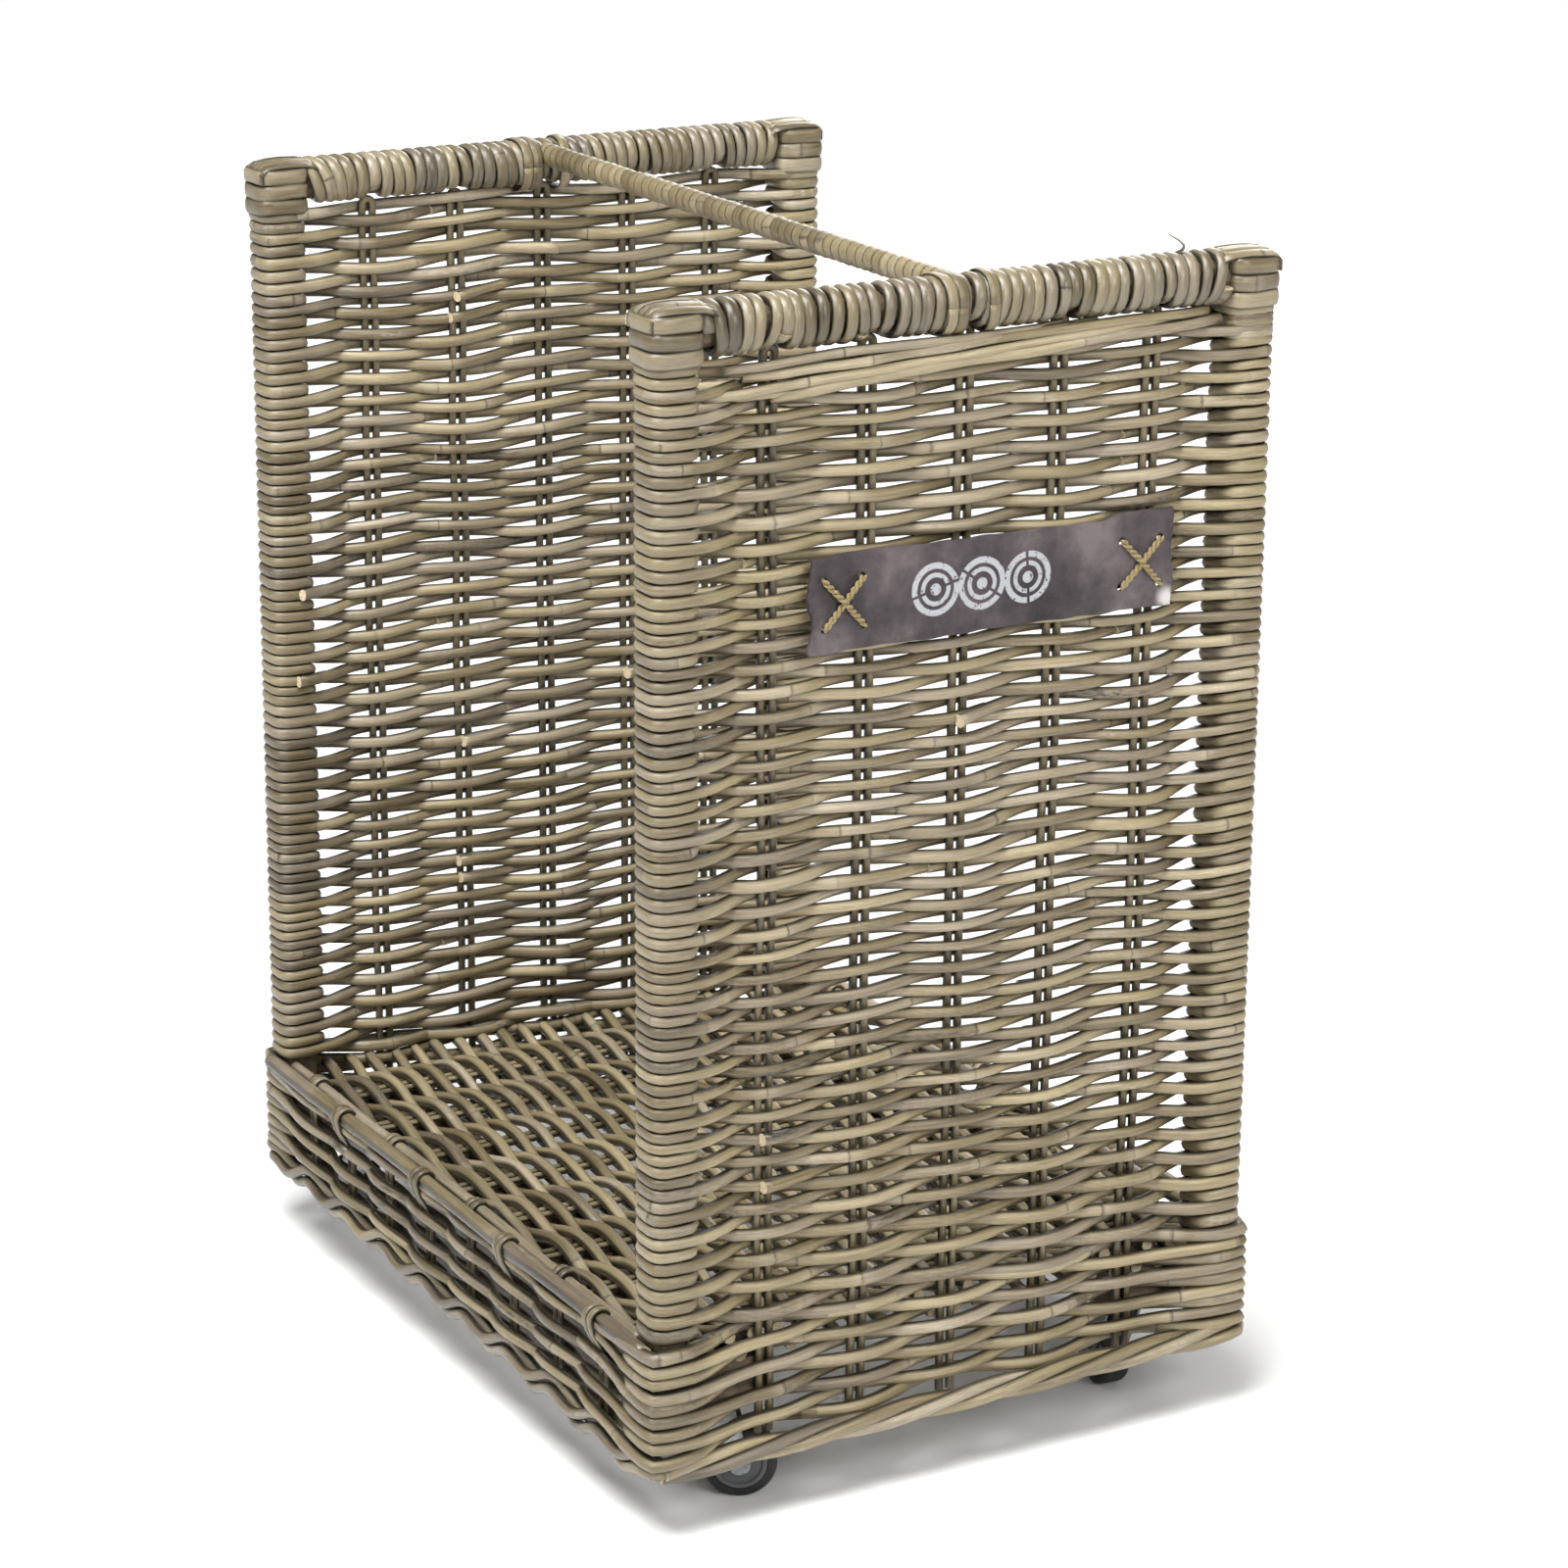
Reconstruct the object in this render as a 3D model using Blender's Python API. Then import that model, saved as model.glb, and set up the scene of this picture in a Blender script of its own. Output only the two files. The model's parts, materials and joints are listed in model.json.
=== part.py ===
"""A rattan log basket on castors: two woven side panels on cane frames, a woven floor, a handle between the rails.

The frame: +Z is up, +X points to the side panel that carries the label, -Y is the open front.
The origin is on the ground, under the middle of the basket. All sizes are in metres.
"""

import math

import bmesh
import bpy
from mathutils import Matrix, Vector

# Overall sizes
LENGTH = 0.505  # over the wrapped posts, from side panel to side panel, along X
DEPTH = 0.366  # over the wrapped posts, from front to back, along Y
HEIGHT = 0.645  # from the ground to the top of the bound rails
FLOOR_RISE = 0.066  # from the underside of the foot border to the woven floor

# Canes and rods
POST_SIDE = 0.019  # across the flats of a corner post
POST_EDGE = 0.0045  # radius of its long edges
POST_END_DEPTH = 0.002  # how far a post's cut end lies below the last turn of its wrapping
RAIL_RADIUS = 0.0095
WEAVER = 0.006  # diameter of the cane that the panels are woven from
BINDING = 0.005  # thickness of the binding on the top rails
STAKE_RADIUS = 0.00225
STAKE_SPACING = 0.0065  # between the two legs of a stake pair
HANDLE_RADIUS = 0.0045
HANDLE_WRAP = 0.002
HANDLE_RISE = 0.006  # the handle's axis above the rails' axes
EDGE_ROD_RADIUS = 0.0045
EDGE_ROD_INSET = 0.0045  # from the basket's open side to the rod's middle
FOOT_BORDER_RADIUS = 0.007
FOOT_BORDER_INSET = 0.005  # from the outer faces to the border's centreline

# Woven walls and the floor
FLOOR_THICKNESS = 0.015
BAND_THICKNESS = 0.010
CURB_INSET = 0.0125  # from the front or back face to the legs of the floor stakes
SIDE_STAKE_PAIRS = 5
FLOOR_STAKE_PAIRS = 8
FLOOR_STAKE_BEND = 0.006  # radius at which a floor stake turns down into the curb

# Castor battens
BATTEN_WIDTH = 0.046
BATTEN_THICKNESS = 0.022
BATTEN_INSET = 0.005  # from the posts' inner faces to the batten

# Label and its lacing
LABEL_LENGTH = 0.214
LABEL_HEIGHT = 0.049
LABEL_THICKNESS = 0.002
LABEL_Y = 0.013  # middle of the label along the panel
LABEL_DROP = 0.157  # from the top of the rails to the middle of the label
LACING_RADIUS = 0.0013
LACING_WIDTH = 0.019  # between the holes of one cross, along Y
LACING_HEIGHT = 0.027
LACING_INSET = 0.019  # from the label's end to the middle of a cross
LACING_DEPTH = 0.006  # how far the lacing reaches into the weave

# Castors
WHEEL_RADIUS = 0.020
WHEEL_HIDDEN = 0.006  # how far the wheels' tops lie above the underside of the foot border
WHEEL_WIDTH = 0.016
RIM_RADIUS = 0.0150
RIM_RECESS = 0.0015  # how far the rim's web lies inside its hub and its edge
TYRE_SHOULDER = 0.0025
AXLE_RADIUS = 0.0025
AXLE_HEAD_RADIUS = 0.0042
AXLE_HEAD = 0.0015
FORK_SHEET = 0.0016
FORK_PLAY = 0.0010  # between the wheel and each leg of the fork
FORK_CROWN_RADIUS = 0.0145
KING_PIN_RADIUS = 0.003
KING_PIN_HEAD_RADIUS = 0.0055
KING_PIN_HEAD = 0.0016
PLATE_SIDE = 0.038
PLATE_SHEET = 0.002
PLATE_CORNER = 0.005
SCREW_HOLE_RADIUS = 0.0018
SCREW_SPACING = 0.028
SWIVEL_GAP = 0.0012  # between the plate and the crown of the fork
TRAIL = 0.018  # from the swivel's axis to the axle, seen from above
CASTOR_HEADINGS = {  # the way each wheel trails, in degrees from +X
    "front_right": 61,
    "back_right": 172,
    "front_left": 214,
    "back_left": 118,
}

GAP = 0.0003  # between pieces that touch
RUNNING_GAP = 0.00015  # between a shaft and its bore
PAST = 0.005  # how far a cutter runs past what it cuts
WHEEL_SIDES = 24  # flats round a tyre, few enough to rest on and enough to roll
ROUND = 16  # sides of a round piece
THIN_ROUND = 10  # sides of a thin rod or a channel

# Sizes that follow from the ones above
WRAPPED_POST = POST_SIDE / 2 + WEAVER
WRAPPED_EDGE = POST_EDGE + WEAVER
BOUND_RAIL = RAIL_RADIUS + BINDING
WEAVE_THICKNESS = 2 * (WEAVER + STAKE_RADIUS)
POST_X = LENGTH / 2 - WRAPPED_POST
POST_Y = DEPTH / 2 - WRAPPED_POST
RAIL_Z = HEIGHT - BOUND_RAIL
HANDLE_Z = RAIL_Z + HANDLE_RISE
FOOT_CLEARANCE = 2 * WHEEL_RADIUS - WHEEL_HIDDEN
FOOT_TOP = FOOT_CLEARANCE + 2 * FOOT_BORDER_RADIUS
FLOOR_TOP = FOOT_CLEARANCE + FLOOR_RISE
FLOOR_BOTTOM = FLOOR_TOP - FLOOR_THICKNESS
FLOOR_MIDDLE = FLOOR_TOP - FLOOR_THICKNESS / 2
SIDE_WEAVE_BOTTOM = FLOOR_TOP + GAP
SIDE_WEAVE_TOP = RAIL_Z - BOUND_RAIL - GAP
SIDE_STAKE_PITCH = 2 * POST_Y / (SIDE_STAKE_PAIRS + 1)
CURB_Y = DEPTH / 2 - CURB_INSET
FLOOR_STAKE_PITCH = 2 * POST_X / (FLOOR_STAKE_PAIRS + 0.8)
FLOOR_HALF_X = POST_X - STAKE_RADIUS - GAP
FLOOR_HALF_Y = CURB_Y - STAKE_RADIUS - FLOOR_STAKE_BEND
BATTEN_TOP = FLOOR_BOTTOM - GAP
BATTEN_BOTTOM = BATTEN_TOP - BATTEN_THICKNESS
BATTEN_Y = POST_Y - POST_SIDE / 2 - GAP - BATTEN_INSET - BATTEN_WIDTH / 2
WHEEL_REACH = math.hypot(TRAIL + WHEEL_RADIUS, WHEEL_WIDTH / 2)  # from the swivel's axis, at any heading
CASTOR_X = LENGTH / 2 - FOOT_BORDER_INSET - WHEEL_REACH
PLATE_TOP = BATTEN_BOTTOM - GAP
CROWN_TOP = PLATE_TOP - PLATE_SHEET - SWIVEL_GAP
FORK_INSIDE = WHEEL_WIDTH / 2 + FORK_PLAY
WEAVE_FACE = POST_X + WEAVE_THICKNESS / 2
LABEL_Z = HEIGHT - LABEL_DROP

SIDES = {"left": -1, "right": 1}
ENDS = {"front": -1, "back": 1}


# Tools

def clear_scene():
    for found in list(bpy.data.objects):
        bpy.data.objects.remove(found)


def material(name, colour, roughness, metallic=0.0):
    made = bpy.data.materials.new(name)
    made.use_nodes = True
    shader = made.node_tree.nodes["Principled BSDF"]
    shader.inputs["Base Color"].default_value = (*colour, 1.0)
    shader.inputs["Roughness"].default_value = roughness
    shader.inputs["Metallic"].default_value = metallic
    return made


def add_object(name, data, finish=None, place=(0, 0, 0)):
    made = bpy.data.objects.new(name, data)
    bpy.context.scene.collection.objects.link(made)
    made.location = place
    if finish:
        data.materials.append(finish)
    return made


def add_mesh(name, shape, finish=None, place=(0, 0, 0), smooth=True):
    """An object from a bmesh. Its faces point out, and its round sides are shaded smooth."""
    bmesh.ops.recalc_face_normals(shape, faces=shape.faces)
    mesh = bpy.data.meshes.new(name)
    shape.to_mesh(mesh)
    shape.free()
    if smooth:
        mesh.shade_smooth()
        mesh.set_sharp_from_angle(angle=math.radians(35))
    return add_object(name, mesh, finish, place)


def extruded(outline, start, end, turn=None):
    """A bmesh prism: an outline of (x, y) points, run from height start to height end, then turned."""
    shape = bmesh.new()
    face = shape.faces.new([shape.verts.new((x, y, start)) for x, y in outline])
    side = bmesh.ops.extrude_face_region(shape, geom=[face])
    lifted = [v for v in side["geom"] if isinstance(v, bmesh.types.BMVert)]
    bmesh.ops.translate(shape, verts=lifted, vec=(0, 0, end - start))
    if turn:
        bmesh.ops.transform(shape, matrix=turn, verts=shape.verts)
    return shape


def ring_points(radius, sides, middle=(0, 0)):
    """Points round a circle, with a flat side at the bottom and on the axes."""
    steps = [2 * math.pi * (i + 0.5) / sides for i in range(sides)]
    return [(middle[0] + radius * math.cos(a), middle[1] + radius * math.sin(a)) for a in steps]


def rounded_rectangle(half_x, half_y, radius, steps):
    points = []
    for quarter, (sx, sy) in enumerate([(1, 1), (-1, 1), (-1, -1), (1, -1)]):
        for i in range(steps + 1):
            angle = math.pi / 2 * (quarter + i / steps)
            points.append((
                sx * (half_x - radius) + radius * math.cos(angle),
                sy * (half_y - radius) + radius * math.sin(angle),
            ))
    return points


def stadium(width, thickness):
    """The outline round a pair of stakes, its long side along Y."""
    points = []
    for half in (0, 1):
        for i in range(THIN_ROUND // 2 + 1):
            angle = math.pi * (half + i / (THIN_ROUND // 2))
            shift = (width - thickness) / 2 * (1 - 2 * half)
            points.append((thickness / 2 * math.cos(angle), shift + thickness / 2 * math.sin(angle)))
    return points


ALONG_X = Matrix.Rotation(math.pi / 2, 4, "Y")
ALONG_Y = Matrix.Rotation(-math.pi / 2, 4, "X")


def rod(name, radius, start, end, finish=None, sides=ROUND, turn=None, place=(0, 0, 0)):
    """A round rod from start to end along Z, or along the axis that turn gives."""
    return add_mesh(name, extruded(ring_points(radius, sides), start, end, turn), finish, place)


def box(name, low, high, finish=None):
    shape = bmesh.new()
    bmesh.ops.create_cube(shape, size=1)
    size = Vector(high) - Vector(low)
    bmesh.ops.scale(shape, verts=shape.verts, vec=size)
    bmesh.ops.translate(shape, verts=shape.verts, vec=(Vector(high) + Vector(low)) / 2)
    return add_mesh(name, shape, finish, smooth=False)


def bent_cane(name, points, radius, finish):
    """A cane of round section along a line of points."""
    curve = bpy.data.curves.new(name, "CURVE")
    curve.dimensions = "3D"
    curve.bevel_depth = radius
    curve.bevel_resolution = 1
    curve.use_fill_caps = True
    line = curve.splines.new("POLY")
    line.points.add(len(points) - 1)
    for point, place in zip(line.points, points):
        point.co = (*place, 1)
    return add_object(name, curve, finish)


def boolean(piece, operation, *tools):
    """Cuts the tools out of a piece, or joins them to it. The tools themselves are hidden."""
    for tool in tools:
        tool.hide_render = True
        tool.display_type = "WIRE"
        step = piece.modifiers.new(operation.title() + " " + tool.name, "BOOLEAN")
        step.operation = operation
        step.solver = "EXACT"
        step.object = tool


def turn_points(middle, radius, start, end, across, up, steps=2):
    """Points round a bend of that radius, in the plane of two directions, from angle start to angle end."""
    points = []
    for i in range(steps + 1):
        angle = start + (end - start) * i / steps
        points.append(Vector(middle) + radius * (math.cos(angle) * Vector(across) + math.sin(angle) * Vector(up)))
    return points


def stake_ys():
    return [SIDE_STAKE_PITCH * (i - (SIDE_STAKE_PAIRS - 1) / 2) for i in range(SIDE_STAKE_PAIRS)]


def floor_stake_xs():
    return [FLOOR_STAKE_PITCH * (i - (FLOOR_STAKE_PAIRS - 1) / 2) for i in range(FLOOR_STAKE_PAIRS)]


# The cane frame

def squared_pole(name, half, edge, start, end, x, y, finish=None):
    """An upright pole, square with rounded edges."""
    outline = rounded_rectangle(half, half, edge, 3)
    return add_mesh(name, extruded(outline, start, end), finish, (x, y, 0))


def make_posts(cane):
    for side, x in SIDES.items():
        for end, y in ENDS.items():
            squared_pole(f"{end}_{side}_post", POST_SIDE / 2, POST_EDGE, FOOT_TOP + GAP, HEIGHT - POST_END_DEPTH,
                         x * POST_X, y * POST_Y, cane)


def post_bore_cutters():
    """Cutters a little larger than the posts, for what is made round them."""
    return [
        squared_pole(f"bore_{side}_{end}", POST_SIDE / 2 + GAP, POST_EDGE + GAP, 0, 2 * HEIGHT,
                     x * POST_X, y * POST_Y)
        for side, x in SIDES.items()
        for end, y in ENDS.items()
    ]


def make_top_rails(cane, bores):
    for side, x in SIDES.items():
        rail = rod(f"{side}_top_rail", RAIL_RADIUS, -POST_Y, POST_Y, cane, turn=ALONG_Y,
                   place=(x * POST_X, 0, RAIL_Z))
        boolean(rail, "DIFFERENCE", *[b for b in bores if f"_{side}_" in b.name])


def make_handle(cane, skin):
    """The handle bar, coped to the rail canes, and the skin wound round it, coped to the rails' binding."""
    bar = rod("handle_bar", HANDLE_RADIUS, -POST_X, POST_X, cane, THIN_ROUND, ALONG_X, (0, 0, HANDLE_Z))
    wrap = rod("handle_wrap", HANDLE_RADIUS + HANDLE_WRAP, -POST_X, POST_X, skin, ROUND, ALONG_X,
               (0, 0, HANDLE_Z))
    bore = rod("handle_bore", HANDLE_RADIUS + GAP, -LENGTH, LENGTH, None, THIN_ROUND, ALONG_X, (0, 0, HANDLE_Z))
    boolean(wrap, "DIFFERENCE", bore)
    for side, x in SIDES.items():
        for piece, radius in ((bar, RAIL_RADIUS), (wrap, BOUND_RAIL)):
            cope = rod(f"{piece.name}_cope_{side}", radius + GAP, -POST_Y, POST_Y, None, ROUND, ALONG_Y,
                       (x * POST_X, 0, RAIL_Z))
            boolean(piece, "DIFFERENCE", cope)


# Stakes: canes bent double, two legs side by side

def make_side_stakes(cane):
    """Each pair of side stakes turns back just under the rail. Returns the channels they need in the weave."""
    channels = {side: [] for side in SIDES}
    bend = STAKE_SPACING / 2
    bend_z = RAIL_Z - RAIL_RADIUS - GAP - STAKE_RADIUS - bend
    width = STAKE_SPACING + 2 * (STAKE_RADIUS + GAP)
    thickness = 2 * (STAKE_RADIUS + GAP)
    for side, x in SIDES.items():
        for number, y in enumerate(stake_ys(), 1):
            middle = Vector((x * POST_X, y, bend_z))
            top = turn_points(middle, bend, math.pi, 0, (0, 1, 0), (0, 0, 1), 4)
            foot = FOOT_TOP + GAP - bend_z
            points = [middle + Vector((0, -bend, foot)), *top, middle + Vector((0, bend, foot))]
            bent_cane(f"{side}_stake_pair_{number}", points, STAKE_RADIUS, cane)
            channel = add_mesh(
                f"{side}_channel_{number}",
                extruded(stadium(width, thickness), FLOOR_BOTTOM, RAIL_Z),
                place=(x * POST_X, y, 0),
            )
            channels[side].append(channel)
    return channels


def floor_stake_points(x):
    """Up the front curb, across the floor, down the back curb, and the same way back beside itself."""
    bend = FLOOR_STAKE_BEND
    half = STAKE_SPACING / 2
    foot = FOOT_TOP + GAP
    turn_z = foot + STAKE_RADIUS + half
    shoulder_z = FLOOR_MIDDLE - bend
    shoulder_y = CURB_Y - bend
    up, back = (0, 0, 1), (0, 1, 0)
    there = [Vector((x - half, -CURB_Y, foot))]
    there += turn_points((x - half, -shoulder_y, shoulder_z), bend, math.pi, math.pi / 2, back, up)
    there += turn_points((x - half, shoulder_y, shoulder_z), bend, math.pi / 2, 0, back, up)
    under = turn_points((x, CURB_Y, turn_z), half, math.pi, 2 * math.pi, (1, 0, 0), up, 4)
    again = [Vector((x + half, p.y, p.z)) for p in reversed(there)]
    return there + under + again


def make_floor_stakes(cane):
    channels = []
    width = STAKE_SPACING + 2 * (STAKE_RADIUS + GAP)
    thickness = 2 * (STAKE_RADIUS + GAP)
    upright = Matrix.Rotation(math.pi / 2, 4, "Z")
    for number, x in enumerate(floor_stake_xs(), 1):
        bent_cane(f"floor_stake_pair_{number}", floor_stake_points(x), STAKE_RADIUS, cane)
        channels.append(add_mesh(
            f"floor_channel_{number}",
            extruded(stadium(width, thickness), -DEPTH, DEPTH, ALONG_Y @ upright),
            place=(x, 0, FLOOR_MIDDLE),
        ))
    return channels


# The weave

def make_side_weaves(woven, channels, lacing_holes, bores):
    """Each side panel's weave is one piece with the turns that its canes take round the two posts."""
    for side, x in SIDES.items():
        weave = box(
            f"{side}_side_weave",
            (x * POST_X - WEAVE_THICKNESS / 2, -POST_Y, SIDE_WEAVE_BOTTOM),
            (x * POST_X + WEAVE_THICKNESS / 2, POST_Y, SIDE_WEAVE_TOP),
            woven,
        )
        turns = [
            squared_pole(f"{side}_{end}_turns", WRAPPED_POST, WRAPPED_EDGE, SIDE_WEAVE_BOTTOM, HEIGHT,
                         x * POST_X, y * POST_Y)
            for end, y in ENDS.items()
        ]
        passage = rod(f"{side}_rail_passage", RAIL_RADIUS + GAP, -POST_Y, POST_Y, turn=ALONG_Y,
                      place=(x * POST_X, 0, RAIL_Z))
        boolean(weave, "UNION", *turns)
        boolean(weave, "DIFFERENCE", *[b for b in bores if f"_{side}_" in b.name], passage, *channels[side])
        if side == "right":
            boolean(weave, "DIFFERENCE", *lacing_holes)


def make_rail_bindings(skin, channels):
    """The cane wound round each top rail, with holes for the stakes below and the handle inside."""
    half = POST_Y - WRAPPED_POST - GAP
    for side, x in SIDES.items():
        place = (x * POST_X, 0, RAIL_Z)
        binding = rod(f"{side}_rail_binding", BOUND_RAIL, -half, half, skin, turn=ALONG_Y, place=place)
        bore = rod(f"{side}_binding_bore", RAIL_RADIUS + GAP, -DEPTH, DEPTH, turn=ALONG_Y, place=place)
        inwards = sorted((0, -x * POST_X))
        socket = rod(f"{side}_handle_socket", HANDLE_RADIUS + GAP, *inwards, None, THIN_ROUND, ALONG_X,
                     (x * POST_X, 0, HANDLE_Z))
        boolean(binding, "DIFFERENCE", bore, socket, *channels[side])


def make_floor_weave(woven, channels, bores):
    floor = box("floor_weave", (-FLOOR_HALF_X, -FLOOR_HALF_Y, FLOOR_BOTTOM),
                (FLOOR_HALF_X, FLOOR_HALF_Y, FLOOR_TOP), woven)
    boolean(floor, "DIFFERENCE", *channels, *bores)


def make_base_band(woven, bores):
    """The rows woven right round the base, outside the posts and the stakes."""
    outline = rounded_rectangle(LENGTH / 2, DEPTH / 2, WRAPPED_EDGE, 4)
    band = add_mesh("base_band", extruded(outline, FOOT_TOP + GAP, FLOOR_TOP), woven)
    inside = box("band_inside", (BAND_THICKNESS - LENGTH / 2, BAND_THICKNESS - DEPTH / 2, 0),
                 (LENGTH / 2 - BAND_THICKNESS, DEPTH / 2 - BAND_THICKNESS, 2 * FLOOR_TOP))
    boolean(band, "DIFFERENCE", inside, *bores)


def make_foot_border(woven):
    """The twisted border under the base, a closed ring of round section."""
    path = rounded_rectangle(LENGTH / 2 - FOOT_BORDER_INSET, DEPTH / 2 - FOOT_BORDER_INSET,
                             WRAPPED_POST - FOOT_BORDER_INSET, 4)
    middle_z = FOOT_CLEARANCE + FOOT_BORDER_RADIUS
    shape = bmesh.new()
    rings = []
    for i, (x, y) in enumerate(path):
        before, after = Vector(path[i - 1]), Vector(path[(i + 1) % len(path)])
        along = (after - before).normalized()
        out = Vector((along.y, -along.x))
        ring = []
        for r, z in ring_points(FOOT_BORDER_RADIUS / math.cos(math.pi / 8), 8):
            ring.append(shape.verts.new((x + out.x * r, y + out.y * r, middle_z + z)))
        rings.append(ring)
    for ring, following in zip(rings, rings[1:] + rings[:1]):
        for i in range(8):
            shape.faces.new((ring[i], ring[(i + 1) % 8], following[(i + 1) % 8], following[i]))
    add_mesh("foot_border", shape, woven)


def make_edge_rods(cane):
    half = POST_X - WRAPPED_POST - GAP
    for end, y in ENDS.items():
        rod(f"{end}_edge_rod", EDGE_ROD_RADIUS, -half, half, cane, THIN_ROUND, ALONG_X,
            (0, y * (DEPTH / 2 - EDGE_ROD_INSET), FLOOR_TOP + EDGE_ROD_RADIUS + 2 * GAP))


def make_battens(wood):
    for end, y in ENDS.items():
        box(f"{end}_batten", (-FLOOR_HALF_X, y * BATTEN_Y - BATTEN_WIDTH / 2, BATTEN_BOTTOM),
            (FLOOR_HALF_X, y * BATTEN_Y + BATTEN_WIDTH / 2, BATTEN_TOP), wood)


# The label

def cross_middles():
    reach = LABEL_LENGTH / 2 - LACING_INSET
    return {"front": LABEL_Y - reach, "back": LABEL_Y + reach}


def lacing_corners(middle_y):
    return [
        (middle_y + sy * LACING_WIDTH / 2, LABEL_Z + sz * LACING_HEIGHT / 2)
        for sy in (-1, 1)
        for sz in (-1, 1)
    ]


def lacing_hole_cutters(name, start, end):
    """Cutters for the lacing's eight holes, from X start to X end."""
    return [
        rod(f"{name}_{cross}_{i}", LACING_RADIUS + GAP, start, end, None, 8, ALONG_X, (0, y, z))
        for cross, middle in cross_middles().items()
        for i, (y, z) in enumerate(lacing_corners(middle))
    ]


def make_label(leather):
    start = WEAVE_FACE + GAP
    end = start + LABEL_THICKNESS
    label = box("label", (start, LABEL_Y - LABEL_LENGTH / 2, LABEL_Z - LABEL_HEIGHT / 2),
                (end, LABEL_Y + LABEL_LENGTH / 2, LABEL_Z + LABEL_HEIGHT / 2), leather)
    boolean(label, "DIFFERENCE", *lacing_hole_cutters("label_hole", start - PAST, end + PAST))


def make_lacing(cord):
    """Each cross is one cord: two strokes over the label, with four ends that go through it into the weave."""
    front = WEAVE_FACE + LABEL_THICKNESS + 2 * GAP + LACING_RADIUS
    for cross, middle in cross_middles().items():
        low_left, high_left, low_right, high_right = lacing_corners(middle)
        strokes = [(low_left, high_right, 0.0), (high_left, low_right, LACING_RADIUS)]
        made = []
        for number, ((y1, z1), (y2, z2), lift) in enumerate(strokes, 1):
            inner = WEAVE_FACE - LACING_DEPTH + GAP
            points = [
                (inner, y1, z1), (front, y1, z1),
                (front + lift, (y1 + y2) / 2, (z1 + z2) / 2),
                (front, y2, z2), (inner, y2, z2),
            ]
            name = f"{cross}_label_lacing" if number == 1 else f"{cross}_lacing_stroke"
            made.append(as_mesh(bent_cane(name, points, LACING_RADIUS, cord)))
        boolean(made[0], "UNION", made[1])


def as_mesh(curve):
    """A curve object turned into a mesh object of the same name, so that a Boolean can use it."""
    graph = bpy.context.evaluated_depsgraph_get()
    mesh = bpy.data.meshes.new_from_object(curve.evaluated_get(graph))
    name, finish = curve.name, curve.data.materials[0]
    bpy.data.objects.remove(curve)
    shape = bmesh.new()
    shape.from_mesh(mesh)
    bmesh.ops.remove_doubles(shape, verts=shape.verts, dist=1e-6)
    mesh.materials.clear()
    return add_mesh(name, shape, finish)


# The castors

def turned(profile, sides):
    """A bmesh ring turned about Z from a closed profile of (radius, height) points."""
    shape = bmesh.new()
    rings = []
    for i in range(sides):
        angle = 2 * math.pi * (i + 0.5) / sides
        rings.append([shape.verts.new((r * math.cos(angle), r * math.sin(angle), z)) for r, z in profile])
    count = len(profile)
    for ring, following in zip(rings, rings[1:] + rings[:1]):
        for i in range(count):
            after = (i + 1) % count
            shape.faces.new((ring[i], ring[after], following[after], following[i]))
    return shape


def add_turned(name, profile, finish, turn, sides=ROUND):
    shape = turned(profile, sides)
    bmesh.ops.transform(shape, matrix=turn, verts=shape.verts)
    return add_mesh(name, shape, finish)


def make_plate(name, steel):
    """The castor's top plate with its four screw holes, and the king pin riveted into it."""
    outline = rounded_rectangle(PLATE_SIDE / 2, PLATE_SIDE / 2, PLATE_CORNER, 3)
    plate = add_mesh(f"{name}_castor_plate", extruded(outline, PLATE_TOP - PLATE_SHEET, PLATE_TOP), steel)
    crown_bottom = CROWN_TOP - FORK_SHEET
    head_top = crown_bottom - SWIVEL_GAP / 2
    pin = rod(f"{name}_king_pin", KING_PIN_RADIUS, head_top - KING_PIN_HEAD / 2, PLATE_TOP - PLATE_SHEET / 2)
    head = rod(f"{name}_king_pin_head", KING_PIN_HEAD_RADIUS, head_top - KING_PIN_HEAD, head_top)
    holes = [
        rod(f"{name}_screw_hole_{x}_{y}", SCREW_HOLE_RADIUS, 0, 2 * PLATE_TOP, None, 8,
            place=(x * SCREW_SPACING / 2, y * SCREW_SPACING / 2, 0))
        for x in (-1, 1)
        for y in (-1, 1)
    ]
    boolean(plate, "UNION", pin, head)
    boolean(plate, "DIFFERENCE", *holes)
    return [plate, pin, head, *holes]


def fork_leg_outline():
    """One leg seen along the axle: from the crown, forwards by the trail, to a round end about the axle."""
    eye = 2.4 * AXLE_RADIUS
    crown = CROWN_TOP - FORK_SHEET / 2
    points = [(-FORK_CROWN_RADIUS * 0.7, crown), (FORK_CROWN_RADIUS * 0.95, crown)]
    for i in range(7):
        angle = math.radians(10 - 170 * i / 6)
        points.append((TRAIL + eye * math.cos(angle), WHEEL_RADIUS + eye * math.sin(angle)))
    return points


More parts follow.
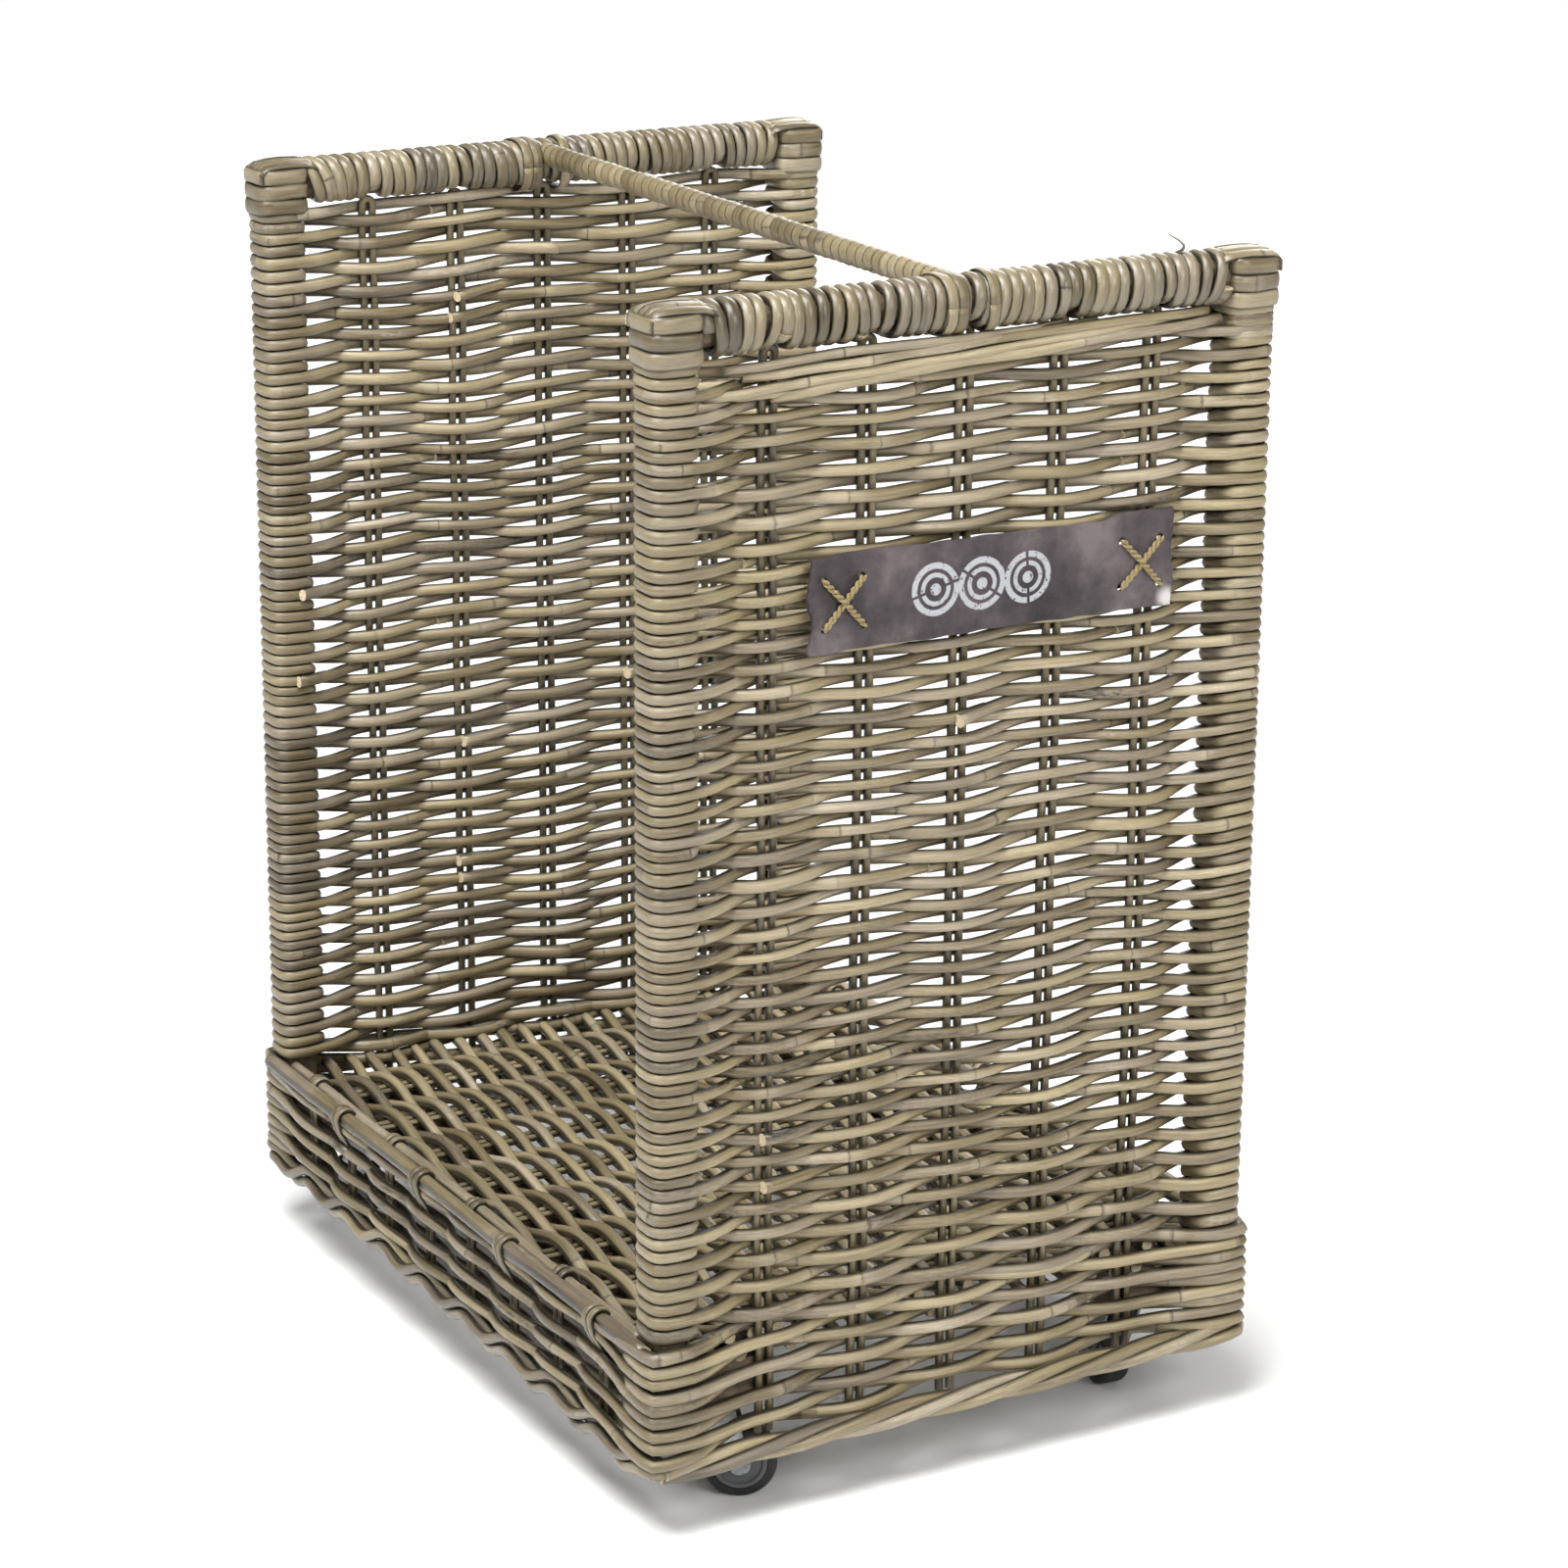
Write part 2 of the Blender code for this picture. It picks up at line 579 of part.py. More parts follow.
def make_fork(name, steel):
    """The fork: a round crown on the king pin, and two legs down to the axle."""
    crown = rod(f"{name}_castor_fork", FORK_CROWN_RADIUS, CROWN_TOP - FORK_SHEET, CROWN_TOP, steel)
    upright = Matrix.Rotation(math.pi / 2, 4, "X")
    tools = []
    for label, y in (("near", -1), ("far", 1)):
        inner = y * FORK_INSIDE
        outer = y * (FORK_INSIDE + FORK_SHEET)
        leg = add_mesh(f"{name}_leg_{label}", extruded(fork_leg_outline(), -inner, -outer, upright))
        tools.append(leg)
    pin_bore = rod(f"{name}_pin_bore", KING_PIN_RADIUS + RUNNING_GAP, 0, 2 * CROWN_TOP)
    axle_bore = rod(f"{name}_axle_bore", AXLE_RADIUS + GAP, -WHEEL_WIDTH, WHEEL_WIDTH, turn=ALONG_Y,
                    place=(TRAIL, 0, WHEEL_RADIUS))
    boolean(crown, "UNION", *tools)
    boolean(crown, "DIFFERENCE", pin_bore, axle_bore)
    return [crown, *tools, pin_bore, axle_bore]


def make_wheel(name, steel, plastic, rubber):
    """The axle, rim and tyre, about the wheel's middle, with the axle along Y."""
    outside = FORK_INSIDE + FORK_SHEET + GAP
    inside = AXLE_RADIUS + RUNNING_GAP
    axle = add_turned(f"{name}_castor_axle", [
        (0.0001, -outside - AXLE_HEAD), (AXLE_HEAD_RADIUS, -outside - AXLE_HEAD), (AXLE_HEAD_RADIUS, -outside),
        (AXLE_RADIUS, -outside), (AXLE_RADIUS, outside), (AXLE_HEAD_RADIUS, outside),
        (AXLE_HEAD_RADIUS, outside + AXLE_HEAD), (0.0001, outside + AXLE_HEAD),
    ], steel, ALONG_Y)
    half = WHEEL_WIDTH / 2
    face = half - RIM_RECESS
    hub = 2.2 * AXLE_RADIUS
    edge = RIM_RADIUS - 0.0030
    rim = add_turned(f"{name}_castor_rim", [
        (inside, -half), (hub, -half), (hub, -face), (edge, -face), (RIM_RADIUS, -half),
        (RIM_RADIUS, half), (edge, face), (hub, face), (hub, half), (inside, half),
    ], plastic, ALONG_Y)
    seat = RIM_RADIUS + GAP
    flat = WHEEL_RADIUS / math.cos(math.pi / WHEEL_SIDES)  # a flat of the tyre is at the wheel's radius
    tyre = add_turned(f"{name}_castor_tyre", [
        (seat, -half), (flat - TYRE_SHOULDER, -half), (flat, -half + TYRE_SHOULDER),
        (flat, half - TYRE_SHOULDER), (flat - TYRE_SHOULDER, half), (seat, half),
    ], rubber, ALONG_Y, WHEEL_SIDES)
    return axle, rim, tyre


def close_axle_ends(axle):
    """The axle was turned with a pinhole on its centre line: this closes it."""
    shape = bmesh.new()
    shape.from_mesh(axle.data)
    bmesh.ops.remove_doubles(shape, verts=shape.verts, dist=0.0003)
    pinhole = [f for f in shape.faces if f.calc_area() < 1e-12]
    bmesh.ops.delete(shape, geom=pinhole, context="FACES")
    bmesh.ops.recalc_face_normals(shape, faces=shape.faces)
    shape.to_mesh(axle.data)
    shape.free()


def make_castor(name, x, y, heading, steel, plastic, rubber):
    """One castor. The swivel's empty stands on the ground under the king pin, the wheel's on the axle."""
    swivel = add_object(f"{name}_swivel", None, place=(x, y, 0))
    fixed = add_object(f"{name}_mounting", None, place=(x, y, 0))
    hub = add_object(f"{name}_wheel_axis", None, place=(TRAIL, 0, WHEEL_RADIUS))
    hub.parent = swivel
    swivel.rotation_euler.z = math.radians(heading)
    for piece in make_plate(name, steel):
        piece.parent = fixed
    for piece in make_fork(name, steel):
        piece.parent = swivel
    axle, rim, tyre = make_wheel(name, steel, plastic, rubber)
    close_axle_ends(axle)
    axle.parent = swivel
    axle.location = hub.location
    for piece in (rim, tyre):
        piece.parent = hub


def main():
    clear_scene()
    cane = material("peeled_cane", (0.36, 0.29, 0.17), 0.55)
    woven = material("grey_rattan", (0.33, 0.28, 0.20), 0.6)
    skin = material("cane_binding", (0.38, 0.32, 0.22), 0.45)
    wood = material("batten_wood", (0.42, 0.33, 0.22), 0.7)
    leather = material("label_leather", (0.09, 0.07, 0.07), 0.6)
    cord = material("label_cord", (0.45, 0.34, 0.15), 0.8)
    steel = material("zinc_steel", (0.62, 0.63, 0.64), 0.35, 1.0)
    plastic = material("grey_rim", (0.12, 0.12, 0.12), 0.5)
    rubber = material("black_rubber", (0.015, 0.015, 0.015), 0.7)

    make_posts(cane)
    bores = post_bore_cutters()
    make_top_rails(cane, bores)
    make_handle(cane, skin)
    side_channels = make_side_stakes(cane)
    floor_channels = make_floor_stakes(cane)
    lacing_holes = lacing_hole_cutters("weave_hole", WEAVE_FACE - LACING_DEPTH, WEAVE_FACE + PAST)
    make_side_weaves(woven, side_channels, lacing_holes, bores)
    make_rail_bindings(skin, side_channels)
    make_floor_weave(woven, floor_channels, bores)
    make_base_band(woven, bores)
    make_foot_border(woven)
    make_edge_rods(cane)
    make_battens(wood)
    make_label(leather)
    make_lacing(cord)
    for name, heading in CASTOR_HEADINGS.items():
        end, side = name.split("_")
        make_castor(name, SIDES[side] * CASTOR_X, ENDS[end] * BATTEN_Y, heading, steel, plastic, rubber)


main()
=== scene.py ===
import json
import math

import bpy
import numpy as np
from mathutils import Matrix, Vector


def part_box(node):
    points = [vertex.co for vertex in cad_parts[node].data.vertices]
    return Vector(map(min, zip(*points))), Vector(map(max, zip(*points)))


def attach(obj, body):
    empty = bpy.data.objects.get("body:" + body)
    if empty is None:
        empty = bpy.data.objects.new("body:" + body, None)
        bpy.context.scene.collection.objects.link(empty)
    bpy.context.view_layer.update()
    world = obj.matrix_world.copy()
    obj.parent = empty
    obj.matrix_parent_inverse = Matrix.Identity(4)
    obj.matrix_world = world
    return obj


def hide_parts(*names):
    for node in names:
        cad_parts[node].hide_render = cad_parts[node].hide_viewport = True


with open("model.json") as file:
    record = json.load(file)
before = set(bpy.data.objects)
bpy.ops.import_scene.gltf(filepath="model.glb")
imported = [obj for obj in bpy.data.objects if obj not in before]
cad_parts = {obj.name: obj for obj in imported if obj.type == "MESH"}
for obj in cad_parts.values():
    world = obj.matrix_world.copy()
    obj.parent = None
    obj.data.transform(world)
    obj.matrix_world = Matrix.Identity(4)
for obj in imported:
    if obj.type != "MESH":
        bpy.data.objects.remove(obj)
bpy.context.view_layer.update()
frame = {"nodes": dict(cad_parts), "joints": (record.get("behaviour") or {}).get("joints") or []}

bpy.ops.object.select_all(action="DESELECT")


# Battens: two softwood bars under the floor, which take the castors' screws.
# They are plain sawn wood, weathered brown, with the grain along them.

def feed(tree, socket, value):
    """Joins an output to a node's input, or gives the input a value of its own."""
    if isinstance(value, bpy.types.NodeSocket):
        tree.links.new(value, socket)
    else:
        socket.default_value = (*value, 1.0) if socket.type == "RGBA" else value


def put(tree, kind, *feeds, **settings):
    """A shader node of that kind, with its inputs fed from pairs of (input, value or output)."""
    node = tree.nodes.new("ShaderNode" + kind)
    for key, value in settings.items():
        setattr(node, key, value)
    for key, value in feeds:
        feed(tree, node.inputs[key], value)
    return node


def calc(tree, operation, *values):
    return put(tree, "Math", *enumerate(values), operation=operation).outputs[0]


def remap(tree, value, low, high, start=0.0, end=1.0):
    """The value's run from low to high, smoothed and mapped to start to end."""
    return put(tree, "MapRange", (0, value), (1, low), (2, high), (3, start), (4, end),
               interpolation_type="SMOOTHSTEP").outputs[0]


def blend_colour(tree, share, first, second, kind="MIX"):
    return put(tree, "Mix", (0, share), (6, first), (7, second), data_type="RGBA", blend_type=kind).outputs[2]


def colour_ramp(tree, value, stops):
    node = put(tree, "ValToRGB", (0, value))
    ramp = node.color_ramp
    while len(ramp.elements) < len(stops):
        ramp.elements.new(0.5)
    for element, (place, colour) in zip(ramp.elements, stops):
        element.position = place
        element.color = (*colour, 1.0)
    return node.outputs[0]


def noise(tree, vector, scale, detail=2.0, roughness=0.5):
    return put(tree, "TexNoise", ("Vector", vector), ("Scale", scale), ("Detail", detail),
               ("Roughness", roughness)).outputs[0]


def stretched(tree, vector, x, y, z):
    return put(tree, "Mapping", (0, vector), ("Scale", (x, y, z))).outputs[0]


def object_place(tree):
    return put(tree, "TexCoord").outputs["Object"]


def new_group(name, inputs, outputs):
    """A shader node group. inputs and outputs are lists of (name, kind, default)."""
    group = bpy.data.node_groups.new(name, "ShaderNodeTree")
    for way, sockets in (("INPUT", inputs), ("OUTPUT", outputs)):
        for label, kind, default in sockets:
            socket = group.interface.new_socket(label, in_out=way, socket_type="NodeSocket" + kind)
            if default is not None:
                socket.default_value = default
    return group, group.nodes.new("NodeGroupInput").outputs, group.nodes.new("NodeGroupOutput").inputs


def use_group(tree, group, **values):
    return put(tree, "Group", *values.items(), node_tree=group).outputs


def new_finish(name, **settings):
    """A material with its Principled shader's plain numbers set. Returns it with its tree and shader."""
    finish = bpy.data.materials.new(name)
    finish.use_nodes = True
    shader = finish.node_tree.nodes["Principled BSDF"]
    for key, value in settings.items():
        shader.inputs[key.replace("_", " ")].default_value = value
    return finish, finish.node_tree, shader


def finish_with(tree, shader, colour, roughness, height, depth, strength=1.0):
    """Joins a colour, a roughness (unless it is plain) and a bump's height to the shader."""
    tree.links.new(colour, shader.inputs["Base Color"])
    if roughness is not None:
        tree.links.new(roughness, shader.inputs["Roughness"])
    bump = put(tree, "Bump", ("Strength", strength), ("Distance", depth), ("Height", height))
    tree.links.new(bump.outputs[0], shader.inputs["Normal"])


def coat_node(node, finish):
    """Gives a CAD node its finish."""
    piece = frame["nodes"][node]
    piece.data.materials.clear()
    piece.data.materials.append(finish)


# Wood grain: long streaks along X, with a few darker lines between them.
wood_grain, given, result = new_group(
    "wood grain",
    [("Light", "Color", (0.4, 0.3, 0.2, 1)), ("Dark", "Color", (0.2, 0.1, 0.1, 1)), ("Fineness", "Float", 1.0)],
    [("Color", "Color", None), ("Height", "Float", None)])
tree = wood_grain
place = object_place(tree)
streaks = noise(tree, stretched(tree, place, 6, 90, 90), given["Fineness"], 4, 0.6)
lines = noise(tree, stretched(tree, place, 14, 420, 420), given["Fineness"], 2)
mixed = calc(tree, "ADD", calc(tree, "MULTIPLY", streaks, 0.7), calc(tree, "MULTIPLY", lines, 0.3))
share = remap(tree, mixed, 0.36, 0.62)
tree.links.new(blend_colour(tree, share, given["Dark"], given["Light"]), result["Color"])
tree.links.new(mixed, result["Height"])

batten_wood, tree, shader = new_finish("batten wood", Roughness=0.7)
grain = use_group(tree, wood_grain, Light=(0.17, 0.125, 0.08), Dark=(0.085, 0.06, 0.036), Fineness=1.0)
finish_with(tree, shader, grain["Color"], None, grain["Height"], 0.0004)
for end in ("front", "back"):
    coat_node(f"{end}_batten", batten_wood)


# Corner posts, top rails and the handle's core: peeled poles, hidden by what is wound round them.
# Only their ends and a little of their sides show, dark in the gaps.

pole, tree, shader = new_finish("peeled pole", Roughness=0.62)
grain = use_group(tree, wood_grain, Light=(0.13, 0.095, 0.05), Dark=(0.06, 0.042, 0.022), Fineness=1.4)
finish_with(tree, shader, grain["Color"], None, grain["Height"], 0.0003)
for node in frame["nodes"]:
    if node.endswith(("_post", "_top_rail")) or node == "handle_bar":
        coat_node(node, pole)


# Floor stakes: thin canes bent double, two legs side by side, that run under and over the floor's canes
# and turn down into the curbs. They are round cane with its skin on, tan.

CANE_SIDES = 8
INTERNODE = (0.11, 0.32)  # shortest and longest length between two joints of a cane
JOINT_SWELL, JOINT_REACH = 0.09, 0.0035  # how much thicker a cane is at a joint, and over what length
FIRST_LENGTHS = 90  # a cane's lengths are numbered from a number under this, which picks their shades


def xyz(x, y, z):
    """Points or directions from their three parts, each a list or one number for all."""
    return np.stack(np.broadcast_arrays(x, y, z), -1)


def lengths_along(line):
    return np.concatenate([[0], np.cumsum(np.linalg.norm(np.diff(line, axis=0), axis=1))])


def cane(line, out, thick, wide=None, rng=None, tone=None, sides=CANE_SIDES):
    """One cane along a line of points. out points away from what it lies on, and thick and wide are its
    half sizes. Returns its rings of points, with the numbers of its lengths and its tone."""
    line = np.asarray(line, float)
    along = np.gradient(line, axis=0)
    along /= np.linalg.norm(along, axis=1)[:, None] + 1e-12
    out = np.broadcast_to(np.asarray(out, float), line.shape)
    out = out - (out * along).sum(1)[:, None] * along
    out /= np.linalg.norm(out, axis=1)[:, None] + 1e-12
    across = np.cross(along, out)
    run = lengths_along(line)
    joints = np.concatenate([[0], np.cumsum(rng.uniform(*INTERNODE, int(run[-1] / INTERNODE[0]) + 3))])
    run = run + rng.uniform(0, joints[1])
    steps = np.interp(run, joints, np.arange(len(joints)))
    nearest = np.abs(run[:, None] - joints[None, :]).min(1)
    swell = 1 + JOINT_SWELL * np.exp(-(nearest / JOINT_REACH) ** 2)
    thick = np.broadcast_to(thick, run.shape) * swell
    wide = thick if wide is None else np.broadcast_to(wide, run.shape) * swell
    turn = 2 * math.pi * np.arange(sides) / sides
    rings = (line[:, None] + (thick[:, None] * np.cos(turn))[:, :, None] * out[:, None]
             + (wide[:, None] * np.sin(turn))[:, :, None] * across[:, None])
    return {"rings": rings, "steps": steps + rng.integers(0, FIRST_LENGTHS),
            "tone": rng.uniform() if tone is None else tone}


def lay_canes(name, canes, skin, replaced=(), ends=None):
    """One piece of the basket, made of many canes. skin is their finish, and ends is that of their cut ends."""
    places, corners, starts, wraps, tones, kinds = [], [], [], [], [], []
    base = loop = 0
    for item in canes:
        rings, steps = item["rings"], item["steps"]
        count, sides = rings.shape[:2]
        places.append(rings.reshape(-1, 3))
        tones.append(np.full(count * sides, item["tone"]))
        i, j = np.meshgrid(np.arange(count - 1), np.arange(sides), indexing="ij")
        after = (j + 1) % sides
        quads = np.stack([i * sides + j, i * sides + after, (i + 1) * sides + after, (i + 1) * sides + j], -1)
        corners.append(quads.reshape(-1) + base)
        starts.append(loop + 4 * np.arange(quads.size // 4))
        u = np.stack([steps[i], steps[i], steps[i + 1], steps[i + 1]], -1)
        v = np.stack([j, j + 1, j + 1, j], -1) / sides
        wraps.append(np.stack([u, v], -1).reshape(-1, 2))
        kinds.append(np.zeros(quads.size // 4, int))
        loop += quads.size
        for ring, at in ((np.arange(sides)[::-1], 0), (np.arange(sides), count - 1)):
            corners.append(base + at * sides + ring)
            starts.append([loop])
            angle = 2 * math.pi * ring / sides
            wraps.append(np.stack([steps[at] + 0.02 * np.cos(angle), 0.5 + 0.3 * np.sin(angle)], -1))
            kinds.append([1])
            loop += sides
        base += count * sides
    mesh = bpy.data.meshes.new(name)
    places, corners, starts, kinds = map(np.concatenate, (places, corners, starts, kinds))
    mesh.vertices.add(len(places))
    mesh.vertices.foreach_set("co", places.astype(np.float32).ravel())
    mesh.loops.add(len(corners))
    mesh.loops.foreach_set("vertex_index", corners.astype(np.int32))
    mesh.polygons.add(len(starts))
    mesh.polygons.foreach_set("loop_start", starts.astype(np.int32))
    mesh.polygons.foreach_set("material_index", kinds.astype(np.int32))
    mesh.polygons.foreach_set("use_smooth", kinds == 0)
    mesh.uv_layers.new(name="cane").uv.foreach_set("vector", np.concatenate(wraps).astype(np.float32).ravel())
    tone = mesh.attributes.new("tone", "FLOAT", "POINT")
    tone.data.foreach_set("value", np.concatenate(tones).astype(np.float32))
    for finish in (skin, ends or cut_end):
        mesh.materials.append(finish)
    mesh.update(calc_edges=True)
    piece = bpy.data.objects.new(name, mesh)
    bpy.context.scene.collection.objects.link(piece)
    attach(piece, "basket")
    if replaced:
        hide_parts(*replaced)


# The skin of a cane: each length between two joints has its own shade, with streaks along it, dark rings at
# the joints, and here and there a black stain or a worn pale stretch.
cane_skin, given, result = new_group(
    "cane skin",
    [("Gold", "Float", 0.5), ("Brightness", "Float", 1.0), ("Stain", "Float", 0.5)],
    [("Color", "Color", None), ("Roughness", "Float", None), ("Height", "Float", None)])
tree = cane_skin
steps = put(tree, "SeparateXYZ", (0, put(tree, "UVMap", uv_map="cane").outputs[0]))
tone = put(tree, "Attribute", attribute_name="tone").outputs["Fac"]
cell = calc(tree, "FLOOR", steps.outputs[0])
frac = calc(tree, "FRACT", steps.outputs[0])
around = calc(tree, "MULTIPLY", steps.outputs[1], 2 * math.pi)
seed = calc(tree, "MULTIPLY", tone, 37.0)
pick = put(tree, "TexWhiteNoise", (0, put(tree, "CombineXYZ", (0, cell), (1, seed)).outputs[0]),
           noise_dimensions="2D")
picks = put(tree, "SeparateColor", (0, pick.outputs["Color"]))


def same_three(tree, value):
    """One value as all three parts of a colour."""
    return put(tree, "CombineXYZ", (0, value), (1, value), (2, value)).outputs[0]


def cane_place(tree, along, across, shift=0.0):
    """A point for noise that runs along a cane, and closes on itself round it."""
    x = calc(tree, "ADD", calc(tree, "MULTIPLY", steps.outputs[0], along), seed)
    y = calc(tree, "MULTIPLY", calc(tree, "COSINE", around), across)
    z = calc(tree, "MULTIPLY_ADD", calc(tree, "SINE", around), across, shift)
    return put(tree, "CombineXYZ", (0, x), (1, y), (2, z)).outputs[0]


streaks = noise(tree, cane_place(tree, 3.0, 1.6), 1.6, 3, 0.6)
fibres = noise(tree, cane_place(tree, 16.0, 5.0, 3.0), 1.7, 2)
patches = noise(tree, cane_place(tree, 2.2, 0.35, 7.0), 1.0, 2)
specks = noise(tree, cane_place(tree, 24.0, 1.4, 11.0), 2.0, 2)
level = calc(tree, "MULTIPLY_ADD", picks.outputs[0], 0.42, calc(tree, "MULTIPLY", patches, 0.46))
level = calc(tree, "MULTIPLY_ADD", calc(tree, "SUBTRACT", streaks, 0.5), 0.5, calc(tree, "ADD", level, 0.06))
grey = colour_ramp(tree, level, [
    (0.10, (0.046, 0.036, 0.025)), (0.32, (0.128, 0.103, 0.070)), (0.52, (0.212, 0.174, 0.122)),
    (0.72, (0.305, 0.258, 0.188)), (0.92, (0.450, 0.395, 0.300))])
gold = colour_ramp(tree, level, [
    (0.10, (0.048, 0.035, 0.016)), (0.32, (0.136, 0.105, 0.052)), (0.52, (0.226, 0.181, 0.096)),
    (0.72, (0.315, 0.258, 0.148)), (0.92, (0.430, 0.362, 0.225))])
hue = remap(tree, calc(tree, "ADD", picks.outputs[1], given["Gold"]), 0.30, 1.20)
colour = blend_colour(tree, hue, grey, gold)
lines = remap(tree, fibres, 0.3, 0.7, 0.84, 1.1)
colour = blend_colour(tree, 1.0, colour, same_three(tree, lines), "MULTIPLY")
worn = calc(tree, "MULTIPLY", remap(tree, patches, 0.6, 0.75), remap(tree, specks, 0.42, 0.6))
colour = blend_colour(tree, calc(tree, "MULTIPLY", worn, 0.4), colour, (0.43, 0.39, 0.33))
edge = calc(tree, "MINIMUM", frac, calc(tree, "SUBTRACT", 1.0, frac))
edge = calc(tree, "MULTIPLY_ADD", calc(tree, "SUBTRACT", specks, 0.5), 0.010, edge)
ring = calc(tree, "MULTIPLY", remap(tree, edge, 0.001, 0.0065, 1.0, 0.0),
            remap(tree, picks.outputs[2], 0.2, 0.9, 0.15, 1.0))
halo = remap(tree, edge, 0.01, 0.05, 1.0, 0.0)
colour = blend_colour(tree, calc(tree, "MULTIPLY", halo, 0.25), colour, (0.36, 0.31, 0.22))
colour = blend_colour(tree, calc(tree, "MULTIPLY", ring, 0.75), colour, (0.040, 0.028, 0.017))
stained = calc(tree, "MULTIPLY", remap(tree, patches, 0.46, 0.30, 0.0, 0.85), remap(tree, specks, 0.42, 0.60))
stained = calc(tree, "MULTIPLY", stained, remap(tree, picks.outputs[2], 0.84, 0.94))
stained = calc(tree, "MULTIPLY", stained, given["Stain"])
colour = blend_colour(tree, stained, colour, (0.016, 0.013, 0.010))
# Painted shade darkens the flanks, where canes meet and shade each other, with a little grime there as well.
flank_shade = calc(tree, "ABSOLUTE", calc(tree, "COSINE", around))
flank_shade = calc(tree, "MULTIPLY_ADD", calc(tree, "SUBTRACT", streaks, 0.5), 0.25, flank_shade)
brightness_with_painted_shade = calc(tree, "MULTIPLY", given["Brightness"], remap(tree, flank_shade, 0.08, 0.78, 0.14, 1.0))
# Painted shade: the open front, where the logs go in, is made a little darker, with the front posts and the canes
# round them.
spot = put(tree, "SeparateXYZ", (0, object_place(tree)))
brightness_with_painted_shade = calc(tree, "MULTIPLY", brightness_with_painted_shade, remap(tree, spot.outputs[1], -0.158, -0.146, 0.74, 1.0))
colour = blend_colour(tree, 1.0, colour, same_three(tree, brightness_with_painted_shade), "MULTIPLY")
tree.links.new(colour, result["Color"])
tree.links.new(remap(tree, streaks, 0.3, 0.7, 0.34, 0.52), result["Roughness"])
height = calc(tree, "MULTIPLY_ADD", fibres, 0.35, calc(tree, "MULTIPLY", streaks, 0.6))
tree.links.new(calc(tree, "MULTIPLY_ADD", ring, -0.6, height), result["Height"])


def cane_finish(name, gold, brightness, stain, shine=0.22):
    """A finish of that skin. gold is how golden it is against grey, and stain how black its stains are."""
    finish, tree, shader = new_finish(name, Coat_Weight=shine, Coat_Roughness=0.32)
    skin = use_group(tree, cane_skin, Gold=gold, Brightness=brightness, Stain=stain)
    finish_with(tree, shader, skin["Color"], skin["Roughness"], skin["Height"], 0.00035, 0.9)
    return finish


# A cut end shows the pale pith, open-pored.
cut_end, tree, shader = new_finish("cane cut end", Roughness=0.85)
pores = noise(tree, object_place(tree), 2600, 2)
colour = colour_ramp(tree, pores, [(0.36, (0.26, 0.19, 0.11)), (0.55, (0.66, 0.56, 0.38))])
finish_with(tree, shader, colour, None, pores, 0.0002)

stake_cane = cane_finish("stake cane", 0.80, 0.86, 0.3)
FLOOR_STAKES = 8
STAKE_LEG = 0.00325  # half the distance between a stake's two legs
STAKE_RADIUS = 0.00225
STAKE_SIDES = 6
FLOOR_STAKE_SHORT = 0.004  # how far short of the curbs they end
FLOOR_STAKE_POINTS = 60


def drift(rng, size, shortest=0.03, longest=0.25, waves=5):
    """A smooth wander, as a function of a length."""
    parts = [(size * rng.uniform(0.4, 1) / math.sqrt(waves), 2 * math.pi / rng.uniform(shortest, longest),
              rng.uniform(0, 7)) for _ in range(waves)]
    return lambda at: sum(a * np.sin(k * at + p) for a, k, p in parts)


def stake_nodes(place, count):
    return [f"{place}_stake_pair_{i + 1}" for i in range(count)]


floor_low, floor_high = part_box("floor_weave")
floor_mid = (floor_low.z + floor_high.z) / 2
stake_boxes = [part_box(node) for node in stake_nodes("floor", FLOOR_STAKES)]
stake_xs = [(low.x + high.x) / 2 for low, high in stake_boxes]
curb_y = stake_boxes[0][1].y - STAKE_RADIUS
rng = np.random.default_rng(11)
canes = []
for x in stake_xs:
    for leg in (-1, 1):
        ys = np.linspace(-curb_y + FLOOR_STAKE_SHORT, curb_y - FLOOR_STAKE_SHORT, FLOOR_STAKE_POINTS)
        wander = drift(rng, 0.0006)
        line = xyz(x + leg * STAKE_LEG + wander(ys), ys, floor_mid)
        canes.append(cane(line, (0, 0, 1), STAKE_RADIUS, rng=rng, sides=STAKE_SIDES))
lay_canes("floor_stakes", canes, stake_cane, stake_nodes("floor", FLOOR_STAKES))


# Floor weave: round canes that run the length of the basket, over one stake pair and under the next,
# pushed close together. Their ends are tucked in at the side panels.

FLOOR_CANE = 0.0034
FLOOR_ROWS = 45
FLOOR_INSET = 0.008  # from the curbs' stake line to the outermost rows
FLOOR_PAST = 0.0005  # how far the canes' ends run past the plain model's
FLOOR_SPAN_POINTS = 9


def between(knots, offsets, per_span):
    """Points that swing from one offset to the next in half waves. Returns the places and the offsets."""
    t = np.arange(per_span) / per_span
    ease = (1 - np.cos(math.pi * t)) / 2
    at = [a + (b - a) * t for a, b in zip(knots, knots[1:])]
    off = [a + (b - a) * ease for a, b in zip(offsets, offsets[1:])]
    return np.concatenate(at + [[knots[-1]]]), np.concatenate(off + [[offsets[-1]]])


